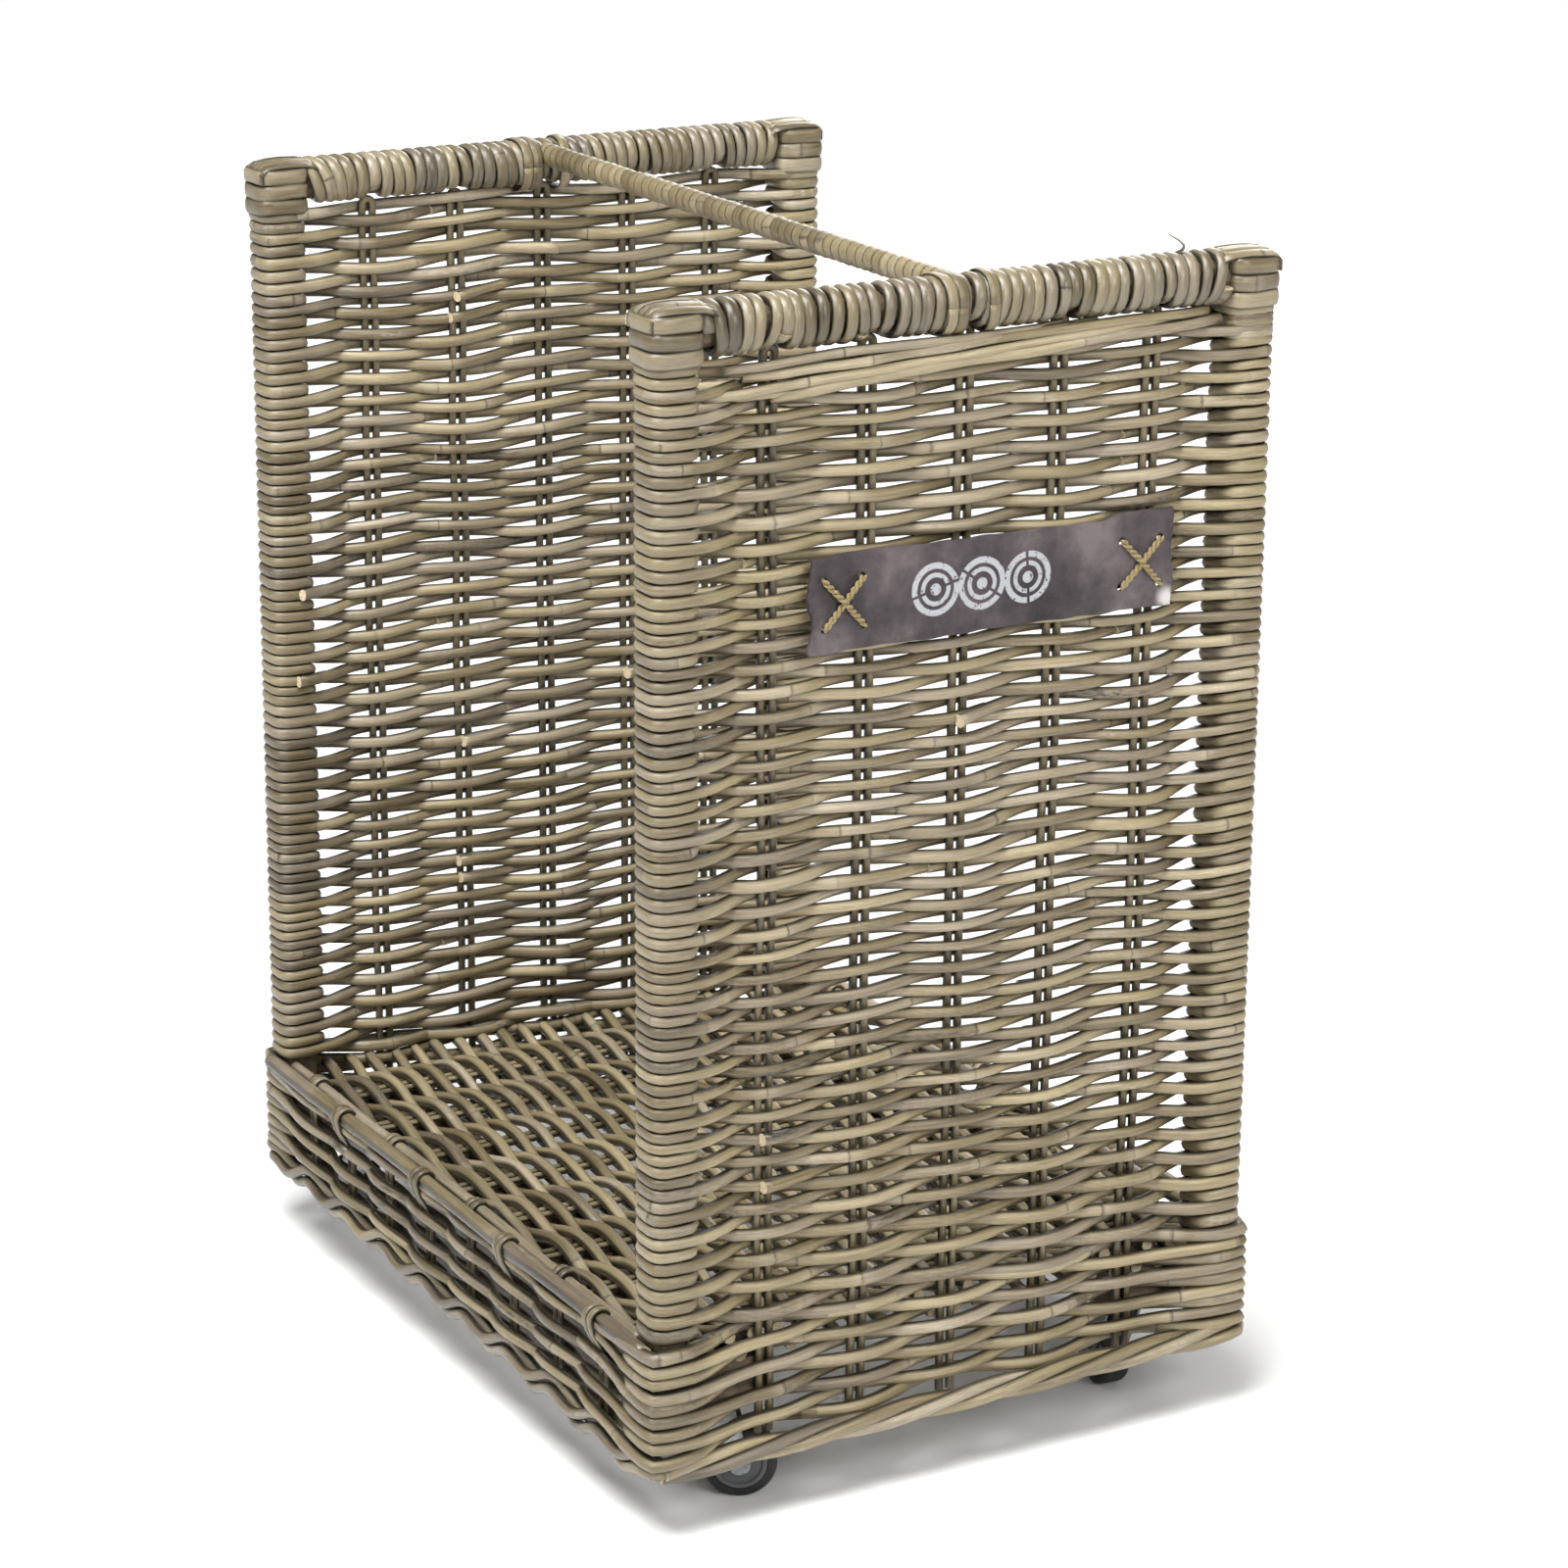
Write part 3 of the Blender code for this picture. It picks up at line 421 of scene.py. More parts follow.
weaver_cane = cane_finish("floor cane", 0.55, 1.02, 0.8)
rng = np.random.default_rng(12)
canes = []
half_y = curb_y - FLOOR_INSET
end_x = floor_high.x + FLOOR_PAST
swing = STAKE_RADIUS + FLOOR_CANE
for row in range(FLOOR_ROWS):
    y = -half_y + 2 * half_y * (row + 0.5) / FLOOR_ROWS
    sign = 1 if row % 2 else -1
    offsets = [sign * (1 if i % 2 else -1) * swing for i in range(-1, FLOOR_STAKES + 1)]
    x, z = between([-end_x, *stake_xs, end_x], offsets, FLOOR_SPAN_POINTS)
    wander = drift(rng, 0.0009)
    # A cane is squeezed sideways where its neighbours press on it between the stakes.
    squeeze = 0.0005 * np.sin(math.pi * (x - stake_xs[0]) / (stake_xs[1] - stake_xs[0]) + row * math.pi)
    line = xyz(x, y + wander(x) + squeeze * rng.uniform(0.4, 1), floor_mid + z)
    thick = FLOOR_CANE * rng.uniform(0.93, 1.1) * (1 + drift(rng, 0.05)(x))
    canes.append(cane(line, (0, 0, 1), thick, rng=rng))
lay_canes("floor_canes", canes, weaver_cane, ["floor_weave"])


# Side stakes: thin canes bent double, two legs side by side, which turn back just under the top rail.
# They are round cane with its skin on, browner than the weave.

PANELS = {"left": -1, "right": 1}
SIDE_STAKES = 5
STAKE_FOOT = 0.006  # how far the stakes run down past the plain model's, into the base weave
LEG_POINTS, BEND_POINTS = 44, 7
rng = np.random.default_rng(13)
for panel, side in PANELS.items():
    canes = []
    for node in stake_nodes(panel, SIDE_STAKES):
        low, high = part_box(node)
        x, y = (low.x + high.x) / 2, (low.y + high.y) / 2
        bend = high.z - STAKE_RADIUS - STAKE_LEG
        wander = drift(rng, 0.0007, 0.1, 0.5)
        up = np.linspace(low.z - STAKE_FOOT, bend, LEG_POINTS)
        turn = np.linspace(math.pi, 0, BEND_POINTS + 2)[1:-1]
        legs = [xyz(x, y + leg * STAKE_LEG + wander(up), up) for leg in (-1, 1)]
        top = xyz(x, y + wander(bend) + STAKE_LEG * np.cos(turn), bend + STAKE_LEG * np.sin(turn))
        line = np.concatenate([legs[0], top, legs[1][::-1]])
        canes.append(cane(line, (side, 0, 0), STAKE_RADIUS, rng=rng, sides=STAKE_SIDES))
    lay_canes(f"{panel}_side_stakes", canes, stake_cane, stake_nodes(panel, SIDE_STAKES))


# Side weaves: round cane woven to and fro between the two posts, in front of one stake pair and behind the
# next. At each post it takes a turn and a half before it goes back, which covers the post with rings.

PANEL_ROWS = 80
LOW_ROWS, LOW_STOUTER = 14, 1.16  # the lowest rows are stouter, most of all the first
RING_THICK = 0.0025  # half the thickness of a cane where it is pulled flat round a post
RING_WIDE = 0.0031
SPAN_POINTS = 7
CORNER_TURN = 20.0  # degrees round a post from one point of a ring to the next
LAST_TURNS, LAST_TURN_PITCH = 3, 0.0060
CUT_STAKES = [0, 1, 2, 2, 2, 3, 4]  # where a cane ends, which is most often in the middle
SLANT_POINTS = 40
post_low, post_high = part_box("front_right_post")
POST_HALF = (post_high.x - post_low.x) / 2
RING_REACH = POST_HALF + RING_THICK  # from a post's middle to the middle of a ring's cane


def squared(value):
    """The cosine or sine of a turn, pushed out towards a square's corners."""
    return np.sign(value) * np.abs(value) ** 0.55


def smooth_step(value, low, high):
    """0 below low, 1 above high, and a smooth step between."""
    t = min(max((value - low) / (high - low), 0.0), 1.0)
    return t * t * (3 - 2 * t)


def panel_path(rng, post_y, stakes, bottom, top):
    """The one path of a panel's weave, row by row, with the turns round the posts between the rows.

    Returns six lists: how far out, along and up each point is, the cane's half size there, its row, and its
    place in the row, which is -1 on a turn."""
    sizes = 1 + drift(rng, 0.07, 9, 40)(np.arange(PANEL_ROWS)) + rng.normal(0, 0.06, PANEL_ROWS)
    sizes[:LOW_ROWS] *= np.linspace(LOW_STOUTER, 1.0, LOW_ROWS)
    edges = np.concatenate([[0], np.cumsum(sizes)])
    edges = bottom + (top - bottom) * edges / edges[-1]
    heights = (edges[1:] + edges[:-1]) / 2
    radii = (edges[1:] - edges[:-1]) / 2 * 1.02
    sag = [(rng.uniform(0.0002, 0.0006), rng.uniform(15, 60), rng.uniform(8, 30), rng.uniform(0, 7))
           for _ in range(7)]
    # A turn and a half round a post, on which the cane climbs to the next row once it is on the far side.
    turn = np.radians(np.arange(-CORNER_TURN, 561, CORNER_TURN))
    lean = np.array([smooth_step(math.degrees(a), 200, 340) for a in turn])[1:-1]
    reach = post_y - RING_REACH * squared(math.sin(math.radians(CORNER_TURN)))
    parts = []
    for row in range(PANEL_ROWS):
        way = 1 if row % 2 == 0 else -1
        radius = radii[row]
        swing = STAKE_RADIUS + radius * 0.97
        edge_out = way * RING_REACH * squared(math.cos(math.radians(CORNER_TURN)))
        swings = [way * (-1 if i % 2 == 0 else 1) * swing for i in range(SIDE_STAKES)]
        along, out = between([-reach, *stakes, reach], [edge_out, *swings, edge_out], SPAN_POINTS)
        lift = drift(rng, 0.00035, 0.04, 0.2)(along)
        out = out + drift(rng, 0.0004, 0.04, 0.2)(along)
        count = len(out)
        crossing = np.stack([out, along, heights[row] + lift, np.full(count, radius), np.full(count, row)])
        parts.append(np.concatenate([crossing[:, ::way], [np.arange(count)]]))
        if row == PANEL_ROWS - 1:
            break
        a = turn[1:-1]
        climb = heights[row] + (heights[row + 1] - heights[row]) * lean + rng.normal(0, 0.0001, len(a))
        girth = radii[row] + (radii[row + 1] - radii[row]) * lean
        parts.append(np.stack([way * RING_REACH * squared(np.cos(a)),
                               way * (post_y + RING_REACH * squared(np.sin(a))), climb, girth,
                               np.full(len(a), row), np.full(len(a), -1)]))
    path = np.concatenate(parts, axis=1)
    for amount, k_along, k_up, phase in sag:
        path[2] += amount * np.sin(k_along * path[1] + k_up * path[2] + phase)
    return path


def panel_cuts(rng, out, row, spot):
    """The points where one cane ends behind or before a stake, and the next is laid in."""
    cuts = []
    row_now = int(rng.integers(2, 6))
    while row_now < PANEL_ROWS - 1:
        middle = SPAN_POINTS * (int(rng.choice(CUT_STAKES)) + 1)
        found = np.flatnonzero((row == row_now) & (spot == middle))[0]
        if out[found] > 0 and rng.uniform() < 0.6:
            found = np.flatnonzero((row == row_now) & (spot == middle + SPAN_POINTS))[0]
        cuts.append(int(found))
        row_now += int(rng.integers(2, 6))
    return cuts


def panel_canes(rng, side, post_x, post_y, stakes, bottom, top, climb):
    """The canes of one panel. climb is how much higher the last rows lie at the back post than at the front."""
    out, along, up, size, row, spot = panel_path(rng, post_y, stakes, bottom, top)
    up = up + climb * (along / post_y + 1) / 2 * np.clip((up - top) / 0.11 + 1, 0, 1) ** 2
    tangent = np.stack([np.gradient(out), np.gradient(along)], -1)
    tangent /= np.linalg.norm(tangent, axis=1)[:, None]
    normal = xyz(side * tangent[:, 1], -tangent[:, 0], 0.0)
    line = xyz(side * (post_x + out), along, up)
    canes = []
    start = 0
    for stop in panel_cuts(rng, out, row, spot) + [len(line) - 1]:
        stretch = slice(max(start - 2, 0), stop + 2)
        points, ways, radius = line[stretch].copy(), normal[stretch], size[stretch].copy()
        facing = np.sign(out[stop])
        if stop < len(line) - 1 and len(points) > 6:
            # The end runs past its stake and stands proud of the weave.
            points[-1] = points[-2] + (points[-1] - points[-2]) * rng.uniform(0.5, 1.1)
            points[-4:, 0] += side * facing * rng.uniform(0.0035, 0.0065) * np.array([0.05, 0.3, 0.65, 1.0])
            points[-3:, 2] += rng.normal(0.0003, 0.0006) * np.array([0.3, 0.7, 1.0])
            radius[-3:] *= 1.06
        if start:
            points[:3, 0] -= side * np.sign(out[start]) * 0.003 * np.array([1.0, 0.7, 0.3])
            radius[:3] *= [0.75, 0.88, 1.0]
        # Round a post the cane is pulled flat, and keeps its height.
        end_zone = np.clip((np.abs(points[:, 1]) - post_y + 0.022) / 0.012, 0, 1)
        canes.append(cane(points, ways, radius + (RING_THICK - radius) * end_zone, radius, rng=rng))
        start = stop
    return canes


# The long canes laid aslant below the right rail: each one's radius, and its places along in metres with its
# height there in millimetres.
SLANTED = (
    (0.0030, [(-0.150, -16.5), (-0.10, -12.5), (-0.02, -7.5), (0.06, -3.2), (0.125, 0.2)]),
    (0.0031, [(-0.112, -19.0), (-0.03, -11.5), (0.05, -7.2), (0.12, -4.5), (0.150, -3.6)]),
    (0.0028, [(-0.128, -8.0), (-0.06, -4.2), (0.0, -1.0), (0.075, 1.8)]),
    (0.0027, [(-0.138, -3.4), (-0.085, 0.2), (-0.01, 1.6), (0.055, 2.0)]),
    (0.0028, [(-0.03, -3.0), (0.03, 0.2), (0.10, 1.8), (0.142, 1.8)]))
panel_cane = cane_finish("panel cane", 0.42, 1.16, 1.0)
for panel, side in PANELS.items():
    low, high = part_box(f"{panel}_side_weave")
    rail_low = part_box(f"{panel}_rail_binding")[0]
    post_low, post_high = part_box(f"front_{panel}_post")
    post_x = abs(post_low.x + post_high.x) / 2
    post_y = abs(post_low.y + post_high.y) / 2
    stakes = [sum(corner.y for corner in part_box(node)) / 2 for node in stake_nodes(panel, SIDE_STAKES)]
    rng = np.random.default_rng(20 + side)
    filled = side > 0  # only the label's panel is filled up below its rail with slanted canes
    bottom, top = low.z + 0.0005, rail_low.z + (-0.0060 if filled else 0.0012)
    canes = panel_canes(rng, side, post_x, post_y, stakes, bottom, top, 0.0030 if filled else 0.0)
    for radius, knots in SLANTED if filled else ():
        y = np.linspace(knots[0][0], knots[-1][0], SLANT_POINTS)
        z = np.interp(y, *np.array(knots).T) * 0.001
        z = np.convolve(np.pad(z, 4, "edge"), np.ones(9) / 9, "valid") + rail_low.z - 0.0035
        bulge = 0.0018 * np.sin(math.pi * np.linspace(0, 1, SLANT_POINTS)) + drift(rng, 0.0006, 0.04, 0.1)(y)
        ends_in = 0.004 * np.clip(1 - np.minimum(y - y[0], y[-1] - y) / 0.02, 0, 1)
        x = side * (post_x + STAKE_RADIUS + 0.0058 + bulge - ends_in)
        line = xyz(x, y, z + drift(rng, 0.0005, 0.05, 0.2)(y))
        canes.append(cane(line, (side, 0, 0), radius * rng.uniform(0.95, 1.05), rng=rng, tone=rng.uniform()))
    # The last turns round the posts, below the bands of their heads.
    for end in (-1, 1):
        for number in range(LAST_TURNS):
            turn = np.radians(np.arange(-190, 181, 18.0)) * -end
            middle = np.array([side * post_x, end * post_y, rail_low.z - 0.0030 - LAST_TURN_PITCH * number])
            out = RING_REACH * xyz(side * squared(np.cos(turn - math.pi / 2)),
                                   squared(np.sin(turn - math.pi / 2)), 0.0)
            canes.append(cane(middle + out, out, RING_THICK, RING_WIDE, rng=rng))
    lay_canes(f"{panel}_panel_weave", canes, panel_cane, [f"{panel}_side_weave"])


# Base weave: stouter canes that run right round the base, outside the posts. They are beaten close on the
# side panels, and open and crossing each other on the two curbs.

BASE_ROWS = 9
BASE_CANE = 0.0036
BASE_LENGTHS = 3  # the canes that make up one row
CURB_STEP = 0.0085  # how far the curbs stand outside the ends of the floor weave
CORNER_REACH = POST_HALF + BASE_CANE + 0.0008  # from a post's middle to the middle of a row round it
CORNER_LEDGE = 0.0028  # how much further the rows stand off the front right post
CORNER_SPREAD = 38  # degrees either way that a row bends over at a corner
BORDER_RISE = 0.0052  # from the lowest corner of the base to the highest
PAIR_PITCH = 0.0145  # between two pairs of rows on a curb
border_low, border_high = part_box("foot_border")
BASE_BOTTOM, BASE_TOP = border_high.z - 0.0020, floor_high.z + 0.0035


def rounded_square(angle, power):
    """How far out a square with rounded corners is at an angle, against its half width."""
    return (np.abs(np.cos(angle)) ** power + np.abs(np.sin(angle)) ** power) ** (-1 / power)


def border_rise(x, y):
    """The base hangs lowest at the front right corner and rises away from it both ways."""
    away = (post_x - x) / (2 * post_x) + (y + post_y) / (2 * post_y)
    return BORDER_RISE * np.clip(1.15 * away, 0, 1)


def base_knots(row):
    """The stations of one row round the base: (x, y) of the stake line or post, the way out, the side of the
    stakes on which the row passes (0 at a post), and whether it is on a curb."""
    stations = []
    ys = [-post_y + 2 * post_y * (i + 1) / (SIDE_STAKES + 1) for i in range(SIDE_STAKES)]
    sign = 1 if row % 2 else -1
    for side in (1, -1):
        panel = [(side * post_x, y, side, 0) for y in ys[::side]]
        curb = [(x, side * (curb_y + CURB_STEP), 0, side) for x in stake_xs[::-side]]
        for run, on_curb in ((panel, 0), (curb, 1)):
            for station in run:
                stations.append((*station, sign, on_curb))
                sign = -sign
            out_x, out_y = (-side, side) if on_curb else (side, side)
            stations.append((out_x * post_x, out_y * post_y, out_x, out_y, 0, 0))
    return stations


def base_row(rng, row, z, radius, loose, bunch):
    """One closed row as points and outward directions, sampled evenly between its stations. On a curb, loose is
    how far it swings up and down, and bunch how far it is moved towards its pair."""
    swing = STAKE_RADIUS + radius
    points, ways, lifts = [], [], []
    for x, y, out_x, out_y, sign, on_curb in base_knots(row):
        if sign == 0:
            for turn in np.radians(np.linspace(-CORNER_SPREAD, CORNER_SPREAD, 5)):
                angle = math.atan2(out_y, out_x) + turn
                c, s = math.cos(angle), math.sin(angle)
                reach = (CORNER_REACH + (CORNER_LEDGE if out_x > 0 > out_y else 0)) * rounded_square(angle, 9)
                points.append((x + reach * c, y + reach * s))
                ways.append((c, s))
                lifts.append(0.0)
        else:
            points.append((x + out_x * sign * swing, y + out_y * sign * swing))
            ways.append((out_x, out_y))
            lifts.append(on_curb * (bunch + sign * loose))
    points, ways, lifts = np.array(points), np.array(ways), np.array(lifts)
    closed = np.concatenate([points, points[:1]])
    steps = np.linalg.norm(np.diff(closed, axis=0), axis=1)
    run = np.concatenate([[0], np.cumsum(steps)])
    fine = np.concatenate([a + (b - a) * np.arange(n) / n for a, b, n in
                           ((a, b, max(2, int((b - a) / 0.0075))) for a, b in zip(run, run[1:]))] + [[run[-1]]])
    index = np.searchsorted(run, fine, side="right").clip(1, len(run) - 1) - 1
    t = (fine - run[index]) / steps[index]
    ease = (1 - np.cos(math.pi * t)) / 2
    after = (index + 1) % len(points)
    far = steps[index] > 0.02
    share = np.where(far, ease, t)[:, None]
    # Along a side only the sideways swing is eased: the run along the side stays even.
    straight = points[index] + (points[after] - points[index]) * t[:, None]
    eased = points[index] + (points[after] - points[index]) * share
    on_x = np.abs(ways[index][:, 0] * ways[after][:, 0]) > np.abs(ways[index][:, 1] * ways[after][:, 1])
    place = np.where(on_x[:, None], np.stack([eased[:, 0], straight[:, 1]], -1),
                     np.stack([straight[:, 0], eased[:, 1]], -1))
    way = ways[index] + (ways[after] - ways[index]) * t[:, None]
    lift = lifts[index] + (lifts[after] - lifts[index]) * ease
    wander = drift(rng, 0.0012, 0.08, 0.5)
    line = np.concatenate([place, (z + lift + wander(fine))[:, None]], 1)
    line[:, 2] += border_rise(line[:, 0], line[:, 1]) * (BASE_TOP - z) / (BASE_TOP - BASE_BOTTOM)
    return line, np.concatenate([way, np.zeros((len(way), 1))], 1)


base_cane = cane_finish("base cane", 0.38, 1.16, 1.0)
rng = np.random.default_rng(31)
canes = []
for row in range(BASE_ROWS):
    z = BASE_BOTTOM + (BASE_TOP - BASE_BOTTOM) * row / (BASE_ROWS - 1)
    radius = BASE_CANE * rng.uniform(0.94, 1.08)
    # On the curbs the rows run two and two, and the two of a pair cross between the stakes.
    bunch = BASE_BOTTOM + 0.0020 + PAIR_PITCH * min(row // 2, 3.4) - z
    line, ways = base_row(rng, row, z, radius, rng.uniform(0.0026, 0.0052), bunch)
    on_curb = np.clip((np.abs(line[:, 1]) - post_y) / 0.012, 0, 1) * (np.abs(line[:, 0]) < post_x - 0.02)
    sizes = radius * (1 - 0.20 * on_curb)
    starts = np.sort(rng.integers(0, len(line) - 1, BASE_LENGTHS))
    line, ways, sizes = line[:-1], ways[:-1], sizes[:-1]
    for start, stop in zip(starts, [*starts[1:], starts[0] + len(line)]):
        index = np.arange(start, stop + 4) % len(line)
        canes.append(cane(line[index], ways[index], sizes[index], rng=rng))
lay_canes("base_weave", canes, base_cane, ["base_band"])


# Foot border: three stout canes twisted round each other along the bottom edge, one swell to each stake.

BORDER_CANE = 0.0037
BORDER_TWIST = 0.0038  # from the middle of the twist to the middle of each cane
TWIST_LENGTH = 0.160
BORDER_CANES = 3
BORDER_CORNER = 0.005
BORDER_POINTS = 420
SCALLOP = 0.0034  # how far the border swings up and down between the stakes of the open sides
half_x, half_y = border_high.x - 0.0062, border_high.y - 0.0038
straight_x, straight_y = half_x - BORDER_CORNER, half_y - BORDER_CORNER
bend_length = BORDER_CORNER * math.pi / 2
lengths = [2 * straight_y, bend_length, 2 * straight_x, bend_length] * 2
total = sum(lengths)
turns = round(total / TWIST_LENGTH)


def border_path(at):
    """(x, y), and the way out, at a length along the border, from the front end of the right side."""
    at = at % total
    for index, length in enumerate(lengths):
        if at <= length:
            break
        at -= length
    quarter, bend = divmod(index, 2)
    heading = quarter * math.pi / 2
    far, half_run = (half_y, straight_x) if quarter % 2 else (half_x, straight_y)
    if bend:
        angle = at / BORDER_CORNER
        local = far - BORDER_CORNER + BORDER_CORNER * math.cos(angle)
        side_run = half_run + BORDER_CORNER * math.sin(angle)
    else:
        angle = 0.0
        local = far
        side_run = at - length / 2
    c, s = math.cos(heading), math.sin(heading)
    out = heading + angle
    return (local * c - side_run * s, local * s + side_run * c, math.cos(out), math.sin(out))


rng = np.random.default_rng(32)
canes = []
run = np.linspace(0, total, BORDER_POINTS)
route = np.array([border_path(at) for at in run])
border_z = (border_low.z + border_high.z) / 2 - 0.0030
pitch = stake_xs[1] - stake_xs[0]
open_side = np.clip((np.abs(route[:, 3]) - 0.7) / 0.3, 0, 1)
open_side = np.convolve(np.pad(open_side, 6, "edge"), np.ones(13) / 13, "valid")
scallop = SCALLOP * np.cos(2 * math.pi * (route[:, 0] - stake_xs[0]) / pitch) * open_side
for strand in range(BORDER_CANES):
    phase = 2 * math.pi * (turns * run / total + strand / BORDER_CANES)
    out = BORDER_TWIST * np.cos(phase) * 0.8
    up = BORDER_TWIST * np.sin(phase) * (1 + 0.15 * open_side)
    wander = drift(rng, 0.0006, 0.1, 0.4)
    x, y = route[:, 0] + out * route[:, 2], route[:, 1] + out * route[:, 3]
    line = xyz(x, y, border_z + border_rise(x, y) + scallop + up + wander(run))
    ways = xyz(route[:, 2], route[:, 3], 0.0)
    thick = BORDER_CANE * rng.uniform(0.95, 1.05) * (1 - 0.14 * open_side)
    canes.append(cane(line, ways, thick, rng=rng))
lay_canes("twisted_foot_border", canes, base_cane, ["foot_border"])


# Curbs: on each open side two stout rods, one outside and a little higher, one inside, run along the top.
# The floor stakes come up and bend over them in turn, as double bands.

ROD_RADIUS, INNER_ROD_RADIUS = 0.0044, 0.0038
OUTER_ROD_OUT, INNER_ROD_OUT = 0.0130, 0.0048  # from the floor stakes' turned-down ends to each rod
ROD_ABOVE_FLOOR = 0.0028
LEG_THICK, LEG_WIDE = 0.0013, 0.0026
BAND_LEG = 0.0027  # half the distance between a band's two legs
OVER_POINTS = 16
LEG_STATIONS = (0.066, 0.080)
rod_cane = cane_finish("curb rod cane", 0.12, 1.20, 0.7)
rng = np.random.default_rng(33)
outer_y, inner_y = curb_y + OUTER_ROD_OUT, curb_y + INNER_ROD_OUT
rod_z = floor_high.z + ROD_ABOVE_FLOOR
stand = curb_y + CURB_STEP
for end, facing in (("front", -1), ("back", 1)):
    rods, bands = [], []
    for radius, y, reach in ((ROD_RADIUS, outer_y, post_x + 0.005),
                             (INNER_ROD_RADIUS, inner_y, post_x - 0.013)):
        x = np.linspace(-reach, reach, 70)
        sway, rise = drift(rng, 0.0010, 0.12, 0.5), drift(rng, 0.0010, 0.12, 0.5)
        line = xyz(x, facing * (y + sway(x)), rod_z + rise(x))
        thick = radius * (1 + drift(rng, 0.08, 0.1, 0.4)(x))
        rods.append(cane(line, (0, 0, 1), thick, rng=rng, sides=12))
    for number, stake_x in enumerate(stake_xs):
        outer = number % 2 == 1
        radius = (ROD_RADIUS if outer else INNER_ROD_RADIUS) + LEG_THICK
        y = outer_y if outer else inner_y
        # Every leg stands in the line of the base weave, and bends over the rod outside or inside it.
        for leg in (-1, 1):
            angle = np.linspace(-0.10 * math.pi, 1.25 * math.pi, OVER_POINTS)
            leg_x = stake_x + leg * BAND_LEG + rng.normal(0, 0.0003)
            over = xyz(leg_x, facing * (y + radius * np.cos(angle)), rod_z + radius * np.sin(angle))
            foot = [(leg_x, facing * stand, z) for z in (border_high.z - 0.006, *LEG_STATIONS)]
            shoulder = y + radius * 0.70 if outer else stand + 0.0008
            foot.append((leg_x, facing * shoulder, rod_z - radius * 1.3))
            swept = xyz(0.0, facing * np.cos(angle), np.sin(angle))
            ways = np.concatenate([[(0, facing, 0)] * len(foot), swept])
            bands.append(cane(np.concatenate([foot, over]), ways, LEG_THICK, LEG_WIDE, rng=rng))
    lay_canes(f"{end}_curb_rods", rods, rod_cane, [f"{end}_edge_rod"])
    lay_canes(f"{end}_curb_bands", bands, stake_cane)


# Rail bindings: split cane wound round each top rail, turn against turn, with a dip over each stake pair.
# At the posts, three flat bands go round the head of the post and strips are folded down over its top.

BIND_THICK, BIND_WIDE = 0.0026, 0.0038
BIND_PITCH = 0.0072
BIND_STEPS = 18  # points to a turn
BIND_ROUNDNESS = 2.6  # the winding's section is nearly round, and a head's nearly square
HEAD_ROUNDNESS = 4.5
BAND_THICK, BAND_WIDE = 0.0013, 0.0044
BAND_POINTS = 41
BANDS = (-0.0114, -0.0028, 0.0058)  # heights of a head's bands, from the middle of the rail
PAD = POST_HALF + 0.0034  # half the width of a post's head under its bands
STRIP_THICK, STRIP_WIDE, STRIP_PITCH = 0.0010, 0.0030, 0.0052
binding_cane = cane_finish("binding cane", 0.42, 0.72, 0.8, 0.45)
band_cane = cane_finish("band cane", 0.60, 0.95, 0.2, 0.4)


def from_turn_to_turn(each, values):
    """Values that are given once a turn, run from each to the next. each is the place in turns."""
    return np.interp(each, np.arange(len(values)), values)


def wound_canes(rng, line, ways, thick, wide, steps, shortest, longest):
    """A winding cut into the single canes that it is made of, each so many turns long."""
    canes = []
    start = 0
    while start < len(line) - 4:
        stop = min(start + steps * int(rng.integers(shortest, longest)), len(line))
        if len(line) - stop < 30:
            stop = len(line)
        part = slice(start, stop)
        canes.append(cane(line[part], ways[part], thick, wide[part], rng=rng))
        start = stop - 1
    return canes


